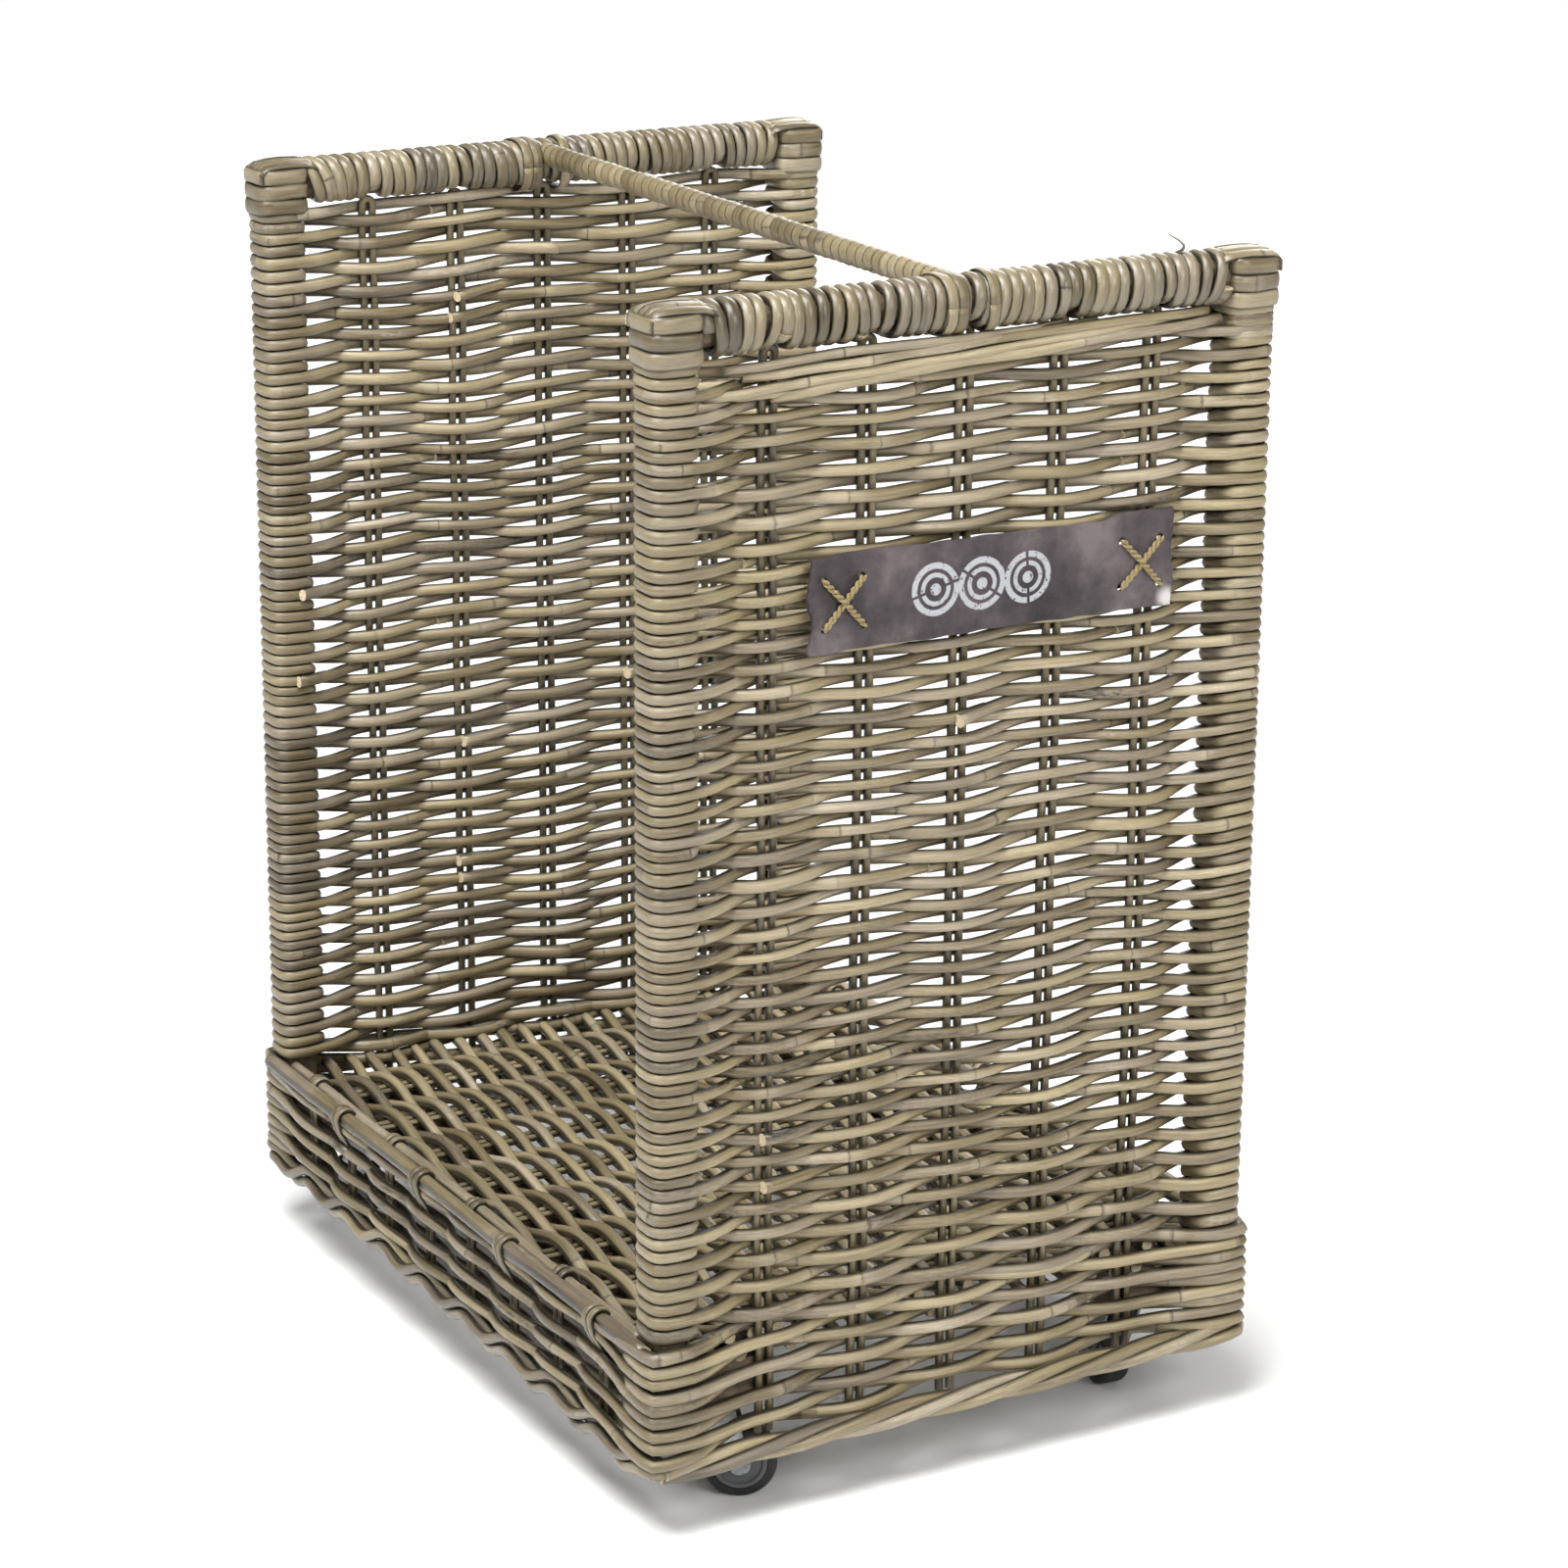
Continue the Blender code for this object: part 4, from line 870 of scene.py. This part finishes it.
for panel, side in PANELS.items():
    rng = np.random.default_rng(40 + side)
    low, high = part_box(f"{panel}_top_rail")
    rail_x, rail_z = (low.x + high.x) / 2, (low.z + high.z) / 2
    rail_half = (high.z - low.z) / 2
    reach = post_y - POST_HALF - 0.0070
    turns = round(2 * reach / BIND_PITCH)
    angle = np.arange(0, 2 * math.pi * turns, 2 * math.pi / BIND_STEPS)
    each = angle / (2 * math.pi)
    along = -reach + 2 * reach * each / turns
    jitter = from_turn_to_turn(each, rng.normal(0, 0.0007, turns + 1))
    tilt = from_turn_to_turn(each, rng.normal(0, 0.0012, turns + 1))
    along = along + jitter + tilt * np.sin(angle + 0.4)
    # The last turns fan out towards the head of the post.
    along = along + np.sign(along) * 0.0036 * np.clip(1 - (reach - np.abs(along)) / 0.024, 0, 1) * np.sin(angle)
    radius = (rail_half + BIND_THICK) * rounded_square(angle, BIND_ROUNDNESS)
    dip = sum(np.exp(-((along - stake) / 0.0042) ** 2) for stake in stakes)
    radius = radius - 0.0075 * np.clip(dip, 0, 1) * np.clip(-np.sin(angle) - 0.15, 0, 1)
    if side < 0:
        radius = radius - 0.0024 * np.clip(-np.sin(angle), 0, 1)  # this rail's binding is flatter below
    line = xyz(rail_x + side * radius * np.cos(angle), along, rail_z + radius * np.sin(angle))
    ways = xyz(side * np.cos(angle), 0.0, np.sin(angle))
    wide = BIND_WIDE * (1 + from_turn_to_turn(each, rng.normal(0, 0.09, turns + 1)))
    canes = wound_canes(rng, line, ways, BIND_THICK, wide, BIND_STEPS, 5, 10)
    if side > 0:
        # One loose fibre curls up from the winding near the back post.
        curl = np.linspace(0, 1, 16)
        fibre = xyz(rail_x + 0.004 * np.sin(5 * curl), 0.125 + 0.0022 * np.sin(4.5 * curl),
                    rail_z + rail_half + 0.004 + 0.0125 * curl - 0.003 * curl ** 4)
        canes.append(cane(fibre, (1, 0, 0), 0.0008 * (1.2 - curl), rng=rng, tone=0.1, sides=6))
    lay_canes(f"{panel}_rail_winding", canes, binding_cane, [f"{panel}_rail_binding"])

    canes = []
    top = rail_z + rail_half + 0.0040
    for end in (-1, 1):
        centre_x, centre_y = side * post_x, end * post_y
        # The head is first padded out to a rounded block, on which the bands and the strips lie.
        angle = np.linspace(0, 2 * math.pi, 25)[:-1]
        square = rounded_square(angle, HEAD_ROUNDNESS)
        rings = np.array([xyz(centre_x + half * square * np.cos(angle),
                              centre_y + half * square * np.sin(angle), z)
                          for half, z in ((PAD, rail_z - 0.0168), (PAD + 0.0002, top - 0.0062),
                                          (PAD - 0.0003, top - 0.0040), (PAD - 0.0014, top - 0.0022),
                                          (PAD - 0.0035, top - 0.0011))])
        canes.append({"rings": rings, "steps": np.full(len(rings), 0.4) + rng.integers(0, FIRST_LENGTHS),
                      "tone": 0.3})
        for height in BANDS:
            angle = np.linspace(0, 2 * math.pi, BAND_POINTS) + rng.uniform(2.2, 3.6)
            out = (PAD + 0.0002 + BAND_THICK) * rounded_square(angle, HEAD_ROUNDNESS)
            line = xyz(centre_x + out * np.cos(angle), centre_y + out * np.sin(angle),
                       rail_z + height + drift(rng, 0.0004, 2, 6)(angle))
            ways = xyz(np.cos(angle), np.sin(angle), 0.0)
            canes.append(cane(line, ways, BAND_THICK, BAND_WIDE, rng=rng, sides=10))
        # Five strips, folded down over the outer side: the outermost first, which lie lowest.
        slant = rng.uniform(-0.0014, 0.0014)
        outer = post_y + PAD + 0.0008
        for strip in (-2, 2, -1, 1, 0):
            x = centre_x + strip * STRIP_PITCH + rng.normal(0, 0.0002)
            drop = 0.0016 if abs(strip) == 2 else 0.0
            fold = [(post_y - 0.021, top - 0.0020, 0), (post_y - 0.0145, top - 0.0002, 0),
                    (post_y - 0.004, top + 0.0003, 0), (post_y + 0.004, top, 0),
                    (outer - 0.0040, top - 0.0009, 0.25), (outer - 0.0012, top - 0.0030, 0.6),
                    (outer, top - 0.0058, 1), (outer, top - 0.0110, 1)]
            line = [(x + slant * (y - post_y) / 0.016, end * y, z - drop * (1 - turned))
                    for y, z, turned in fold]
            ways = [(0.22 * strip * (1 - turned), end * turned, 1 - turned) for y, z, turned in fold]
            canes.append(cane(line, ways, STRIP_THICK, STRIP_WIDE + 0.0002 * abs(strip), rng=rng))
    lay_canes(f"{panel}_post_heads", canes, band_cane)


# Handle: a straight rod between the middles of the two rails, wound with flat peel, each turn lapping the last.
# The peel is browner than the rest, and goes a few times round the rail at each end.

PEEL_THICK, PEEL_WIDE, LOOP_WIDE = 0.0008, 0.0050, 0.0034
PEEL_PITCH = 0.0082
PEEL_STEPS = 16  # points to a turn
LOOPS = ((-0.0105, 0.0012), (0.0100, -0.0014), (-0.0165, 0.0010))  # each loop's place along the rail and slant
LOOP_POINTS = 25
peel = cane_finish("handle peel", 1.0, 0.80, 0.3)
low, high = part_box("handle_wrap")
handle_z = (low.z + high.z) / 2
bar_low, bar_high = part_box("handle_bar")
bar_radius = (bar_high.z - bar_low.z) / 2
rng = np.random.default_rng(50)
turns = round((high.x - low.x) / PEEL_PITCH)
angle = np.arange(0, 2 * math.pi * turns, 2 * math.pi / PEEL_STEPS)
each = angle / (2 * math.pi)
lap = bar_radius + 0.0012 + 0.0004 * from_turn_to_turn(each, rng.uniform(0, 1, turns + 1))
x = low.x + (high.x - low.x) * each / turns + from_turn_to_turn(each, rng.normal(0, 0.0006, turns + 1))
line = xyz(x, lap * np.cos(angle), handle_z + lap * np.sin(angle))
# Each turn leans on the one before it, so its outer face looks a little towards the right end.
ways = xyz(0.16, np.cos(angle), np.sin(angle))
canes = wound_canes(rng, line, ways, PEEL_THICK, np.full(len(x), PEEL_WIDE), PEEL_STEPS, 6, 12)
angle = np.linspace(0, 2 * math.pi, LOOP_POINTS)
out = (rail_half + 2 * BIND_THICK + 0.0004) * rounded_square(angle, BIND_ROUNDNESS)
ways = xyz(np.cos(angle), 0.0, np.sin(angle))
for side in (-1, 1):
    for y, slant in LOOPS:
        loop = xyz(side * post_x + out * np.cos(angle), y + slant * np.cos(angle), rail_z + out * np.sin(angle))
        canes.append(cane(loop, ways, PEEL_THICK, LOOP_WIDE, rng=rng))
lay_canes("handle_peel", canes, peel, ["handle_wrap"])


# Label: a strip of thick dyed leather, a little curled, with a stencilled row of log ends.
# Four punched holes near each end take the cord.

LABEL_COLUMNS, LABEL_LINES = 120, 26
LEATHER_THICK = 0.0022
HOLE_RADIUS = 0.0021
CROSS_WIDER, CROSS_LOWER = 0.0006, 0.0026  # the holes against the corners of the plain model's lacing
label_low, label_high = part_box("label")
label_mid = (label_low + label_high) / 2
width, tall = label_high.y - label_low.y, label_high.z - label_low.z


def cross_corners(end):
    """The y and the z of the four holes of one cross: the low and the high one of each."""
    low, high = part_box(f"{end}_label_lacing")
    return (low.y - CROSS_WIDER, high.y + CROSS_WIDER), (low.z + CROSS_LOWER, high.z - CROSS_LOWER)


def label_bow(y, z):
    """How far the leather stands off the weave: it lifts at its ends and waves between the crosses."""
    across, up = (y - label_mid.y) / width * 2, (z - label_mid.z) / tall * 2
    lift = 0.0013 * math.sin(3.1 * across + 0.6) * up
    lift += 0.0022 * max(abs(across) - 0.72, 0) / 0.28 * (0.4 + 0.6 * abs(up))
    return 0.0008 + lift + 0.0010 * (1 - across * across) * (1 - 0.5 * up * up)


bpy.ops.mesh.primitive_grid_add(x_subdivisions=LABEL_COLUMNS, y_subdivisions=LABEL_LINES, size=1)
label = bpy.context.object
label.name = "leather_label"
rng = np.random.default_rng(60)
ragged_end, ragged_side = drift(rng, 0.0008, 0.006, 0.03), drift(rng, 0.0006, 0.02, 0.09)
for vertex in label.data.vertices:
    across, up = vertex.co.x, vertex.co.y
    y = label_mid.y + across * width
    if abs(across) > 0.45:
        y += ragged_end(up * tall) * (2.0 if across < 0 else 1.0)
    z = label_mid.z + up * tall + (ragged_side(across * width) * (2 * abs(up)) ** 6)
    # The upper edge was cut in two strokes, so it steps up towards the back end.
    z += 0.0024 * smooth_step(across, 0.30, 0.36) * max(2 * up, 0) ** 3
    vertex.co = (label_low.x + label_bow(y, z), y, z)
label.data.validate()
solid = label.modifiers.new("leather", "SOLIDIFY")
solid.thickness = LEATHER_THICK
solid.offset = 1.0
bpy.ops.object.modifier_apply(modifier="leather")
bpy.ops.object.mode_set(mode="EDIT")
bpy.ops.mesh.select_all(action="SELECT")
bpy.ops.mesh.normals_make_consistent(inside=False)
bpy.ops.object.mode_set(mode="OBJECT")
for y, z in [(y, z) for end in ("front", "back") for y in cross_corners(end)[0] for z in cross_corners(end)[1]]:
    bpy.ops.mesh.primitive_cylinder_add(vertices=14, radius=HOLE_RADIUS, depth=0.02,
                                        location=(label_low.x + 0.002, y, z), rotation=(0, math.pi / 2, 0))
    punch = bpy.context.object
    cut = label.modifiers.new("hole", "BOOLEAN")
    cut.operation = "DIFFERENCE"
    cut.solver = "EXACT"
    cut.object = punch
    bpy.context.view_layer.objects.active = label
    bpy.ops.object.modifier_apply(modifier="hole")
    bpy.data.objects.remove(punch)
edge = label.modifiers.new("edge", "BEVEL")
edge.width = 0.0004
edge.segments = 2
edge.limit_method = "ANGLE"
edge.angle_limit = math.radians(50)
bpy.ops.object.modifier_apply(modifier="edge")
bpy.ops.object.select_all(action="DESELECT")
label.select_set(True)
bpy.ops.object.shade_smooth_by_angle(angle=math.radians(40))
bpy.ops.object.select_all(action="DESELECT")

leather, tree, shader = new_finish("label leather", Specular_IOR_Level=0.35)
place = object_place(tree)
mottle = noise(tree, place, 38, 4, 0.62)
cloud = noise(tree, place, 13, 2)
grain = put(tree, "TexVoronoi", ("Vector", place), ("Scale", 900.0), feature="DISTANCE_TO_EDGE").outputs[0]
creases = noise(tree, stretched(tree, place, 60, 18, 90), 3.0, 4, 0.6)
colour = colour_ramp(tree, calc(tree, "MULTIPLY_ADD", cloud, 0.5, calc(tree, "MULTIPLY", mottle, 0.5)), [
    (0.37, (0.012, 0.009, 0.010)), (0.46, (0.036, 0.027, 0.030)), (0.53, (0.070, 0.054, 0.058)),
    (0.63, (0.145, 0.119, 0.122))])
spot = put(tree, "SeparateXYZ", (0, place))
# A worn pale corner, low at the back end.
corner_far = put(tree, "VectorMath", (0, place), (1, (label_high.x, label_high.y - 0.003, label_low.z + 0.004)),
                 operation="DISTANCE").outputs["Value"]
scuff = calc(tree, "MULTIPLY", remap(tree, corner_far, 0.003, 0.0085, 1.0, 0.0),
             remap(tree, mottle, 0.44, 0.56))
colour = blend_colour(tree, scuff, colour, (0.60, 0.56, 0.54))
# The stencil: three log ends, each a ring, an inner ring and a heart, broken by the stencil's bridges.
paint = None
LOG_ENDS_MID, LOG_END_PITCH = -0.0075, 0.0272  # from the label's middle to theirs, and from one to the next
LOG_END_RINGS = ((0.0122, 0.0016), (0.0074, 0.0012), (0.0, 0.0031))  # each ring's radius and half width
for number in (-1, 0, 1):
    dy = calc(tree, "SUBTRACT", spot.outputs[1], label_mid.y + LOG_ENDS_MID + number * LOG_END_PITCH)
    dz = calc(tree, "SUBTRACT", spot.outputs[2], label_mid.z + 0.0004)
    away = calc(tree, "SQRT", calc(tree, "MULTIPLY_ADD", dy, dy, calc(tree, "MULTIPLY", dz, dz)))
    away = calc(tree, "MULTIPLY_ADD", calc(tree, "SUBTRACT", creases, 0.5), 0.0006, away)
    for middle, half in LOG_END_RINGS:
        off = calc(tree, "ABSOLUTE", calc(tree, "SUBTRACT", away, middle))
        band = remap(tree, off, half - 0.0002, half + 0.0002, 1, 0)
        paint = band if paint is None else calc(tree, "MAXIMUM", paint, band)
    bridge_way = math.radians(35 + 50 * number)
    bridge = calc(tree, "ABSOLUTE", calc(tree, "ADD", calc(tree, "MULTIPLY", dy, math.sin(bridge_way)),
                                         calc(tree, "MULTIPLY", dz, math.cos(bridge_way))))
    near = remap(tree, away, 0.016, 0.017, 1, 0)
    gap = calc(tree, "MULTIPLY", calc(tree, "MULTIPLY", remap(tree, bridge, 0.0006, 0.0009, 1, 0), near),
               remap(tree, away, 0.0038, 0.0042))
    paint = calc(tree, "MULTIPLY", paint, calc(tree, "SUBTRACT", 1.0, gap))
wear = remap(tree, noise(tree, place, 420, 3, 0.6), 0.30, 0.44)
paint = calc(tree, "MULTIPLY", paint, calc(tree, "MULTIPLY", wear, 0.9))
normal = put(tree, "SeparateXYZ", (0, put(tree, "NewGeometry").outputs["Normal"]))
paint = calc(tree, "MULTIPLY", paint, remap(tree, normal.outputs[0], 0.3, 0.6))  # only the face is painted
colour = blend_colour(tree, paint, colour, (0.44, 0.45, 0.47))
rough = calc(tree, "MULTIPLY_ADD", paint, 0.25, remap(tree, mottle, 0.35, 0.65, 0.34, 0.52))
height = calc(tree, "MULTIPLY_ADD", grain, 1.2, calc(tree, "MULTIPLY", creases, 0.8))
height = calc(tree, "MULTIPLY_ADD", paint, 0.25, height)
finish_with(tree, shader, colour, rough, height, 0.0006, 0.7)
label.data.materials.append(leather)
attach(label, "basket")
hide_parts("label")


# Lacing: waxed two-ply cord, golden tan, one cross at each end of the label.
# Each cross is four ends through the holes, with one stroke over the other.

CORD_PLY, CORD_TWIST = 0.00090, 0.0075  # a ply's radius, and the length of one twist
PLY_OFFSET = 0.00085
CORD_POINTS = 110
HOLE_SHARE = 0.12  # the share of a stroke's length that dives into each of its holes
cord, tree, shader = new_finish("golden cord", Roughness=0.72, Sheen_Weight=0.25)
fuzz = noise(tree, stretched(tree, put(tree, "UVMap", uv_map="cane").outputs[0], 90, 6, 1), 3.0, 3)
colour = colour_ramp(tree, fuzz, [
    (0.3, (0.085, 0.055, 0.016)), (0.5, (0.25, 0.185, 0.065)), (0.72, (0.47, 0.37, 0.17))])
finish_with(tree, shader, colour, None, fuzz, 0.0003)
rng = np.random.default_rng(61)
for end in ("front", "back"):
    (y1, y2), (z1, z2) = cross_corners(end)
    plies = []
    for stroke, (a, b) in enumerate((((y1, z1), (y2, z2)), ((y1, z2), (y2, z1)))):
        t = np.linspace(0, 1, 60)
        over_face = np.clip((t - HOLE_SHARE) / (1 - 2 * HOLE_SHARE), 0, 1)
        ys, zs = (a[i] + (b[i] - a[i]) * over_face for i in (0, 1))
        face = np.array([label_low.x + label_bow(y, z) + LEATHER_THICK for y, z in zip(ys, zs)])
        over = 0.0014 + 0.0012 * np.exp(-((t - 0.5) / 0.14) ** 2) * (1.6 if stroke else 0.2)
        dive = np.clip(np.minimum(t, 1 - t) / HOLE_SHARE, 0, 1) ** 0.5
        centre = xyz(face + over - (1 - dive) * 0.0058, ys, zs)
        run = lengths_along(centre)
        fine = np.linspace(0, run[-1], CORD_POINTS)
        centre = np.stack([np.interp(fine, run, centre[:, k]) for k in range(3)], -1)
        along = np.gradient(centre, axis=0)
        along /= np.linalg.norm(along, axis=1)[:, None]
        flat = np.cross(along, (1.0, 0, 0))
        flat /= np.linalg.norm(flat, axis=1)[:, None] + 1e-9
        rise = np.cross(flat, along)
        for ply in (0, 1):
            phase = 2 * math.pi * fine / CORD_TWIST + ply * math.pi
            line = centre + PLY_OFFSET * (np.cos(phase)[:, None] * flat + np.sin(phase)[:, None] * rise)
            plies.append(cane(line, rise, CORD_PLY, rng=rng))
    lay_canes(f"{end}_lacing_cross", plies, cord, [f"{end}_label_lacing"], cord)


# Castors: a zinc-plated plate and fork, a grey moulded rim, and a black rubber tyre, on a plain axle.
# The tyre is moulded round the rim; both are turned here round the axle that the fork holds.

zinc, tree, shader = new_finish("zinc plate", Metallic=1.0)
place = object_place(tree)
spangle = noise(tree, place, 260, 3, 0.7)
dull = noise(tree, place, 60, 3)
colour = colour_ramp(tree, spangle, [(0.35, (0.17, 0.175, 0.18)), (0.65, (0.32, 0.325, 0.33))])
colour = blend_colour(tree, remap(tree, dull, 0.52, 0.75, 0.0, 0.5), colour, (0.14, 0.125, 0.105))
finish_with(tree, shader, colour, remap(tree, dull, 0.3, 0.7, 0.42, 0.62), spangle, 0.0001, 0.5)


def dusty_finish(name, clean, dusty, dust_scale, dust_from, roughness, grit_scale, depth, strength):
    """A moulded finish with clouds of dust. dust_from is the run of noise over which it comes in and its share."""
    finish, tree, shader = new_finish(name)
    place = object_place(tree)
    grit = noise(tree, place, grit_scale, 3, 0.6)
    dust = noise(tree, place, dust_scale, 3)
    colour = blend_colour(tree, remap(tree, dust, *dust_from), clean, dusty)
    finish_with(tree, shader, colour, remap(tree, dust, 0.3, 0.7, *roughness), grit, depth, strength)
    return finish


rim_plastic = dusty_finish("grey rim", (0.082, 0.084, 0.089), (0.120, 0.117, 0.112), 90,
                           (0.4, 0.75, 0.0, 0.55), (0.45, 0.65), 700, 0.0001, 0.6)
tyre_rubber = dusty_finish("black tyre", (0.010, 0.010, 0.010), (0.055, 0.050, 0.042), 70,
                           (0.48, 0.8, 0.0, 0.5), (0.55, 0.78), 900, 0.00015, 0.8)
WHEEL_HALF = 0.008  # half the width of a wheel
TYRE_SEAT, TYRE_ROUND = 0.0152, 0.0032  # the tyre's inner radius, and the rounding of its edges
RIM_BORE = 0.00265
RIM_RADIUS = 0.0149
# Half a rim's section, from the bore outwards: the radius, and how far it is let in from the side.
RIM_SIDE = ((RIM_BORE, 0.0), (0.0052, 0.0), (0.0056, 0.0012), (0.0064, 0.0016), (0.0112, 0.0016),
            (0.0120, 0.0012), (0.0126, 0.0002), (0.0146, 0.0), (RIM_RADIUS, 0.0004))
WHEEL_STEPS = 64


def turned_ring(name, profile, finish, centre, axis, body, node):
    """A ring spun about the axle from a closed profile of (radius, place along the axle) points."""
    bpy.ops.mesh.primitive_circle_add(vertices=len(profile), radius=1, fill_type="NOTHING")
    piece = bpy.context.object
    piece.name = name
    for vertex, (radius, along) in zip(piece.data.vertices, profile):
        vertex.co = (radius, 0, along)
    bpy.ops.object.mode_set(mode="EDIT")
    bpy.ops.mesh.select_all(action="SELECT")
    bpy.ops.mesh.spin(steps=WHEEL_STEPS, angle=2 * math.pi, center=(0, 0, 0), axis=(0, 0, 1))
    bpy.ops.mesh.select_all(action="SELECT")
    bpy.ops.mesh.remove_doubles(threshold=0.00002)
    bpy.ops.mesh.normals_make_consistent(inside=False)
    bpy.ops.object.mode_set(mode="OBJECT")
    turn = Vector((0, 0, 1)).rotation_difference(Vector(axis)).to_matrix().to_4x4()
    piece.data.transform(Matrix.Translation(centre) @ turn)
    piece.data.materials.append(finish)
    bpy.ops.object.shade_smooth_by_angle(angle=math.radians(35))
    bpy.ops.object.select_all(action="DESELECT")
    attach(piece, body)
    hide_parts(node)


for joint in frame["joints"]:
    if not joint["name"].startswith("wheel_"):
        continue
    name = joint["name"][len("wheel_"):]
    centre = Vector(joint["pos_m"])
    edge = [(centre.z - TYRE_ROUND + TYRE_ROUND * math.sin(a),
             -WHEEL_HALF + TYRE_ROUND * (1 - math.cos(a))) for a in np.linspace(0, math.pi / 2, 6)]
    tyre = [(TYRE_SEAT, -WHEEL_HALF), *edge, (centre.z, 0.0), *[(r, -at) for r, at in reversed(edge)],
            (TYRE_SEAT, WHEEL_HALF)]
    rim = [(r, -WHEEL_HALF + inward) for r, inward in RIM_SIDE]
    rim += [(r, -at) for r, at in reversed(rim)]
    for part, profile, finish, slot in (("tyre", tyre, tyre_rubber, "black_rubber"),
                                        ("rim", rim, rim_plastic, "grey_rim")):
        turned_ring(f"{name}_{part}", profile, finish, centre, joint["axis"], f"castor_wheel_{name}",
                    f"{name}_castor_{part}")
    for part in ("plate", "fork", "axle"):
        coat_node(f"{name}_castor_{part}", zinc)


# The stage: a plain pale floor of studio paper, soft light from a broad overhead panel and three lower ones,
# and the camera, off the basket's front right corner and looking down on it a little.

bpy.ops.mesh.primitive_plane_add(size=30, location=(0, 0, 0))
stage = bpy.context.object
stage.name = "studio_floor"
paper, tree, shader = new_finish("studio paper", Base_Color=(0.93, 0.93, 0.93, 1), Roughness=0.9,
                                 Specular_IOR_Level=0.1, Emission_Strength=1.0)
# The far paper glows a little, so that it stays as pale as the near.
distance = put(tree, "VectorMath", (0, object_place(tree)), operation="LENGTH").outputs["Value"]
tree.links.new(same_three(tree, remap(tree, distance, 0.7, 4.5, 0.0, 0.75)), shader.inputs["Emission Color"])
stage.data.materials.append(paper)


def soft_light(name, place, target, size, power):
    """A square panel of light, size metres across, at a place and turned to a target."""
    light = bpy.data.lights.new(name, "AREA")
    light.shape = "SQUARE"
    light.size = size
    light.energy = power
    lamp = bpy.data.objects.new(name, light)
    bpy.context.scene.collection.objects.link(lamp)
    lamp.location = place
    lamp.rotation_euler = (Vector(target) - Vector(place)).to_track_quat("-Z", "Y").to_euler()


soft_light("overhead", (0.5, -0.9, 2.7), (0, 0, 0.3), 1.5, 118)
soft_light("left_panel", (0.9, -2.6, 1.7), (0, 0, 0.3), 1.2, 24)
soft_light("right_panel", (2.9, 0.5, 1.9), (0.1, 0, 0.3), 1.2, 46)
soft_light("back_panel", (-2.4, 2.0, 1.9), (0, 0, 0.3), 1.4, 34)
world = bpy.data.worlds.new("studio")
bpy.context.scene.world = world
world.use_nodes = True
background = world.node_tree.nodes["Background"]
background.inputs["Color"].default_value = (1, 1, 1, 1)
background.inputs["Strength"].default_value = 0.20
bpy.context.scene.view_settings.view_transform = "Standard"

CAMERA_PLACE = (2.1162, -1.1573, 1.0577)
AZIMUTH, ELEVATION, ROLL = math.radians(60.66), math.radians(17.10), math.radians(0.417)
back = Vector((math.sin(AZIMUTH) * math.cos(ELEVATION), -math.cos(AZIMUTH) * math.cos(ELEVATION),
               math.sin(ELEVATION)))
level_right = Vector((math.cos(AZIMUTH), math.sin(AZIMUTH), 0))
level_up = back.cross(level_right)
right = math.cos(ROLL) * level_right + math.sin(ROLL) * level_up
up = -math.sin(ROLL) * level_right + math.cos(ROLL) * level_up
camera_data = bpy.data.cameras.new("studio_camera")
camera_data.lens = 103.39
camera_data.sensor_width = 36
camera_data.clip_end = 60
camera = bpy.data.objects.new("studio_camera", camera_data)
bpy.context.scene.collection.objects.link(camera)
camera.matrix_world = Matrix.Translation(CAMERA_PLACE) @ Matrix((right, up, back)).transposed().to_4x4()
bpy.context.scene.camera = camera
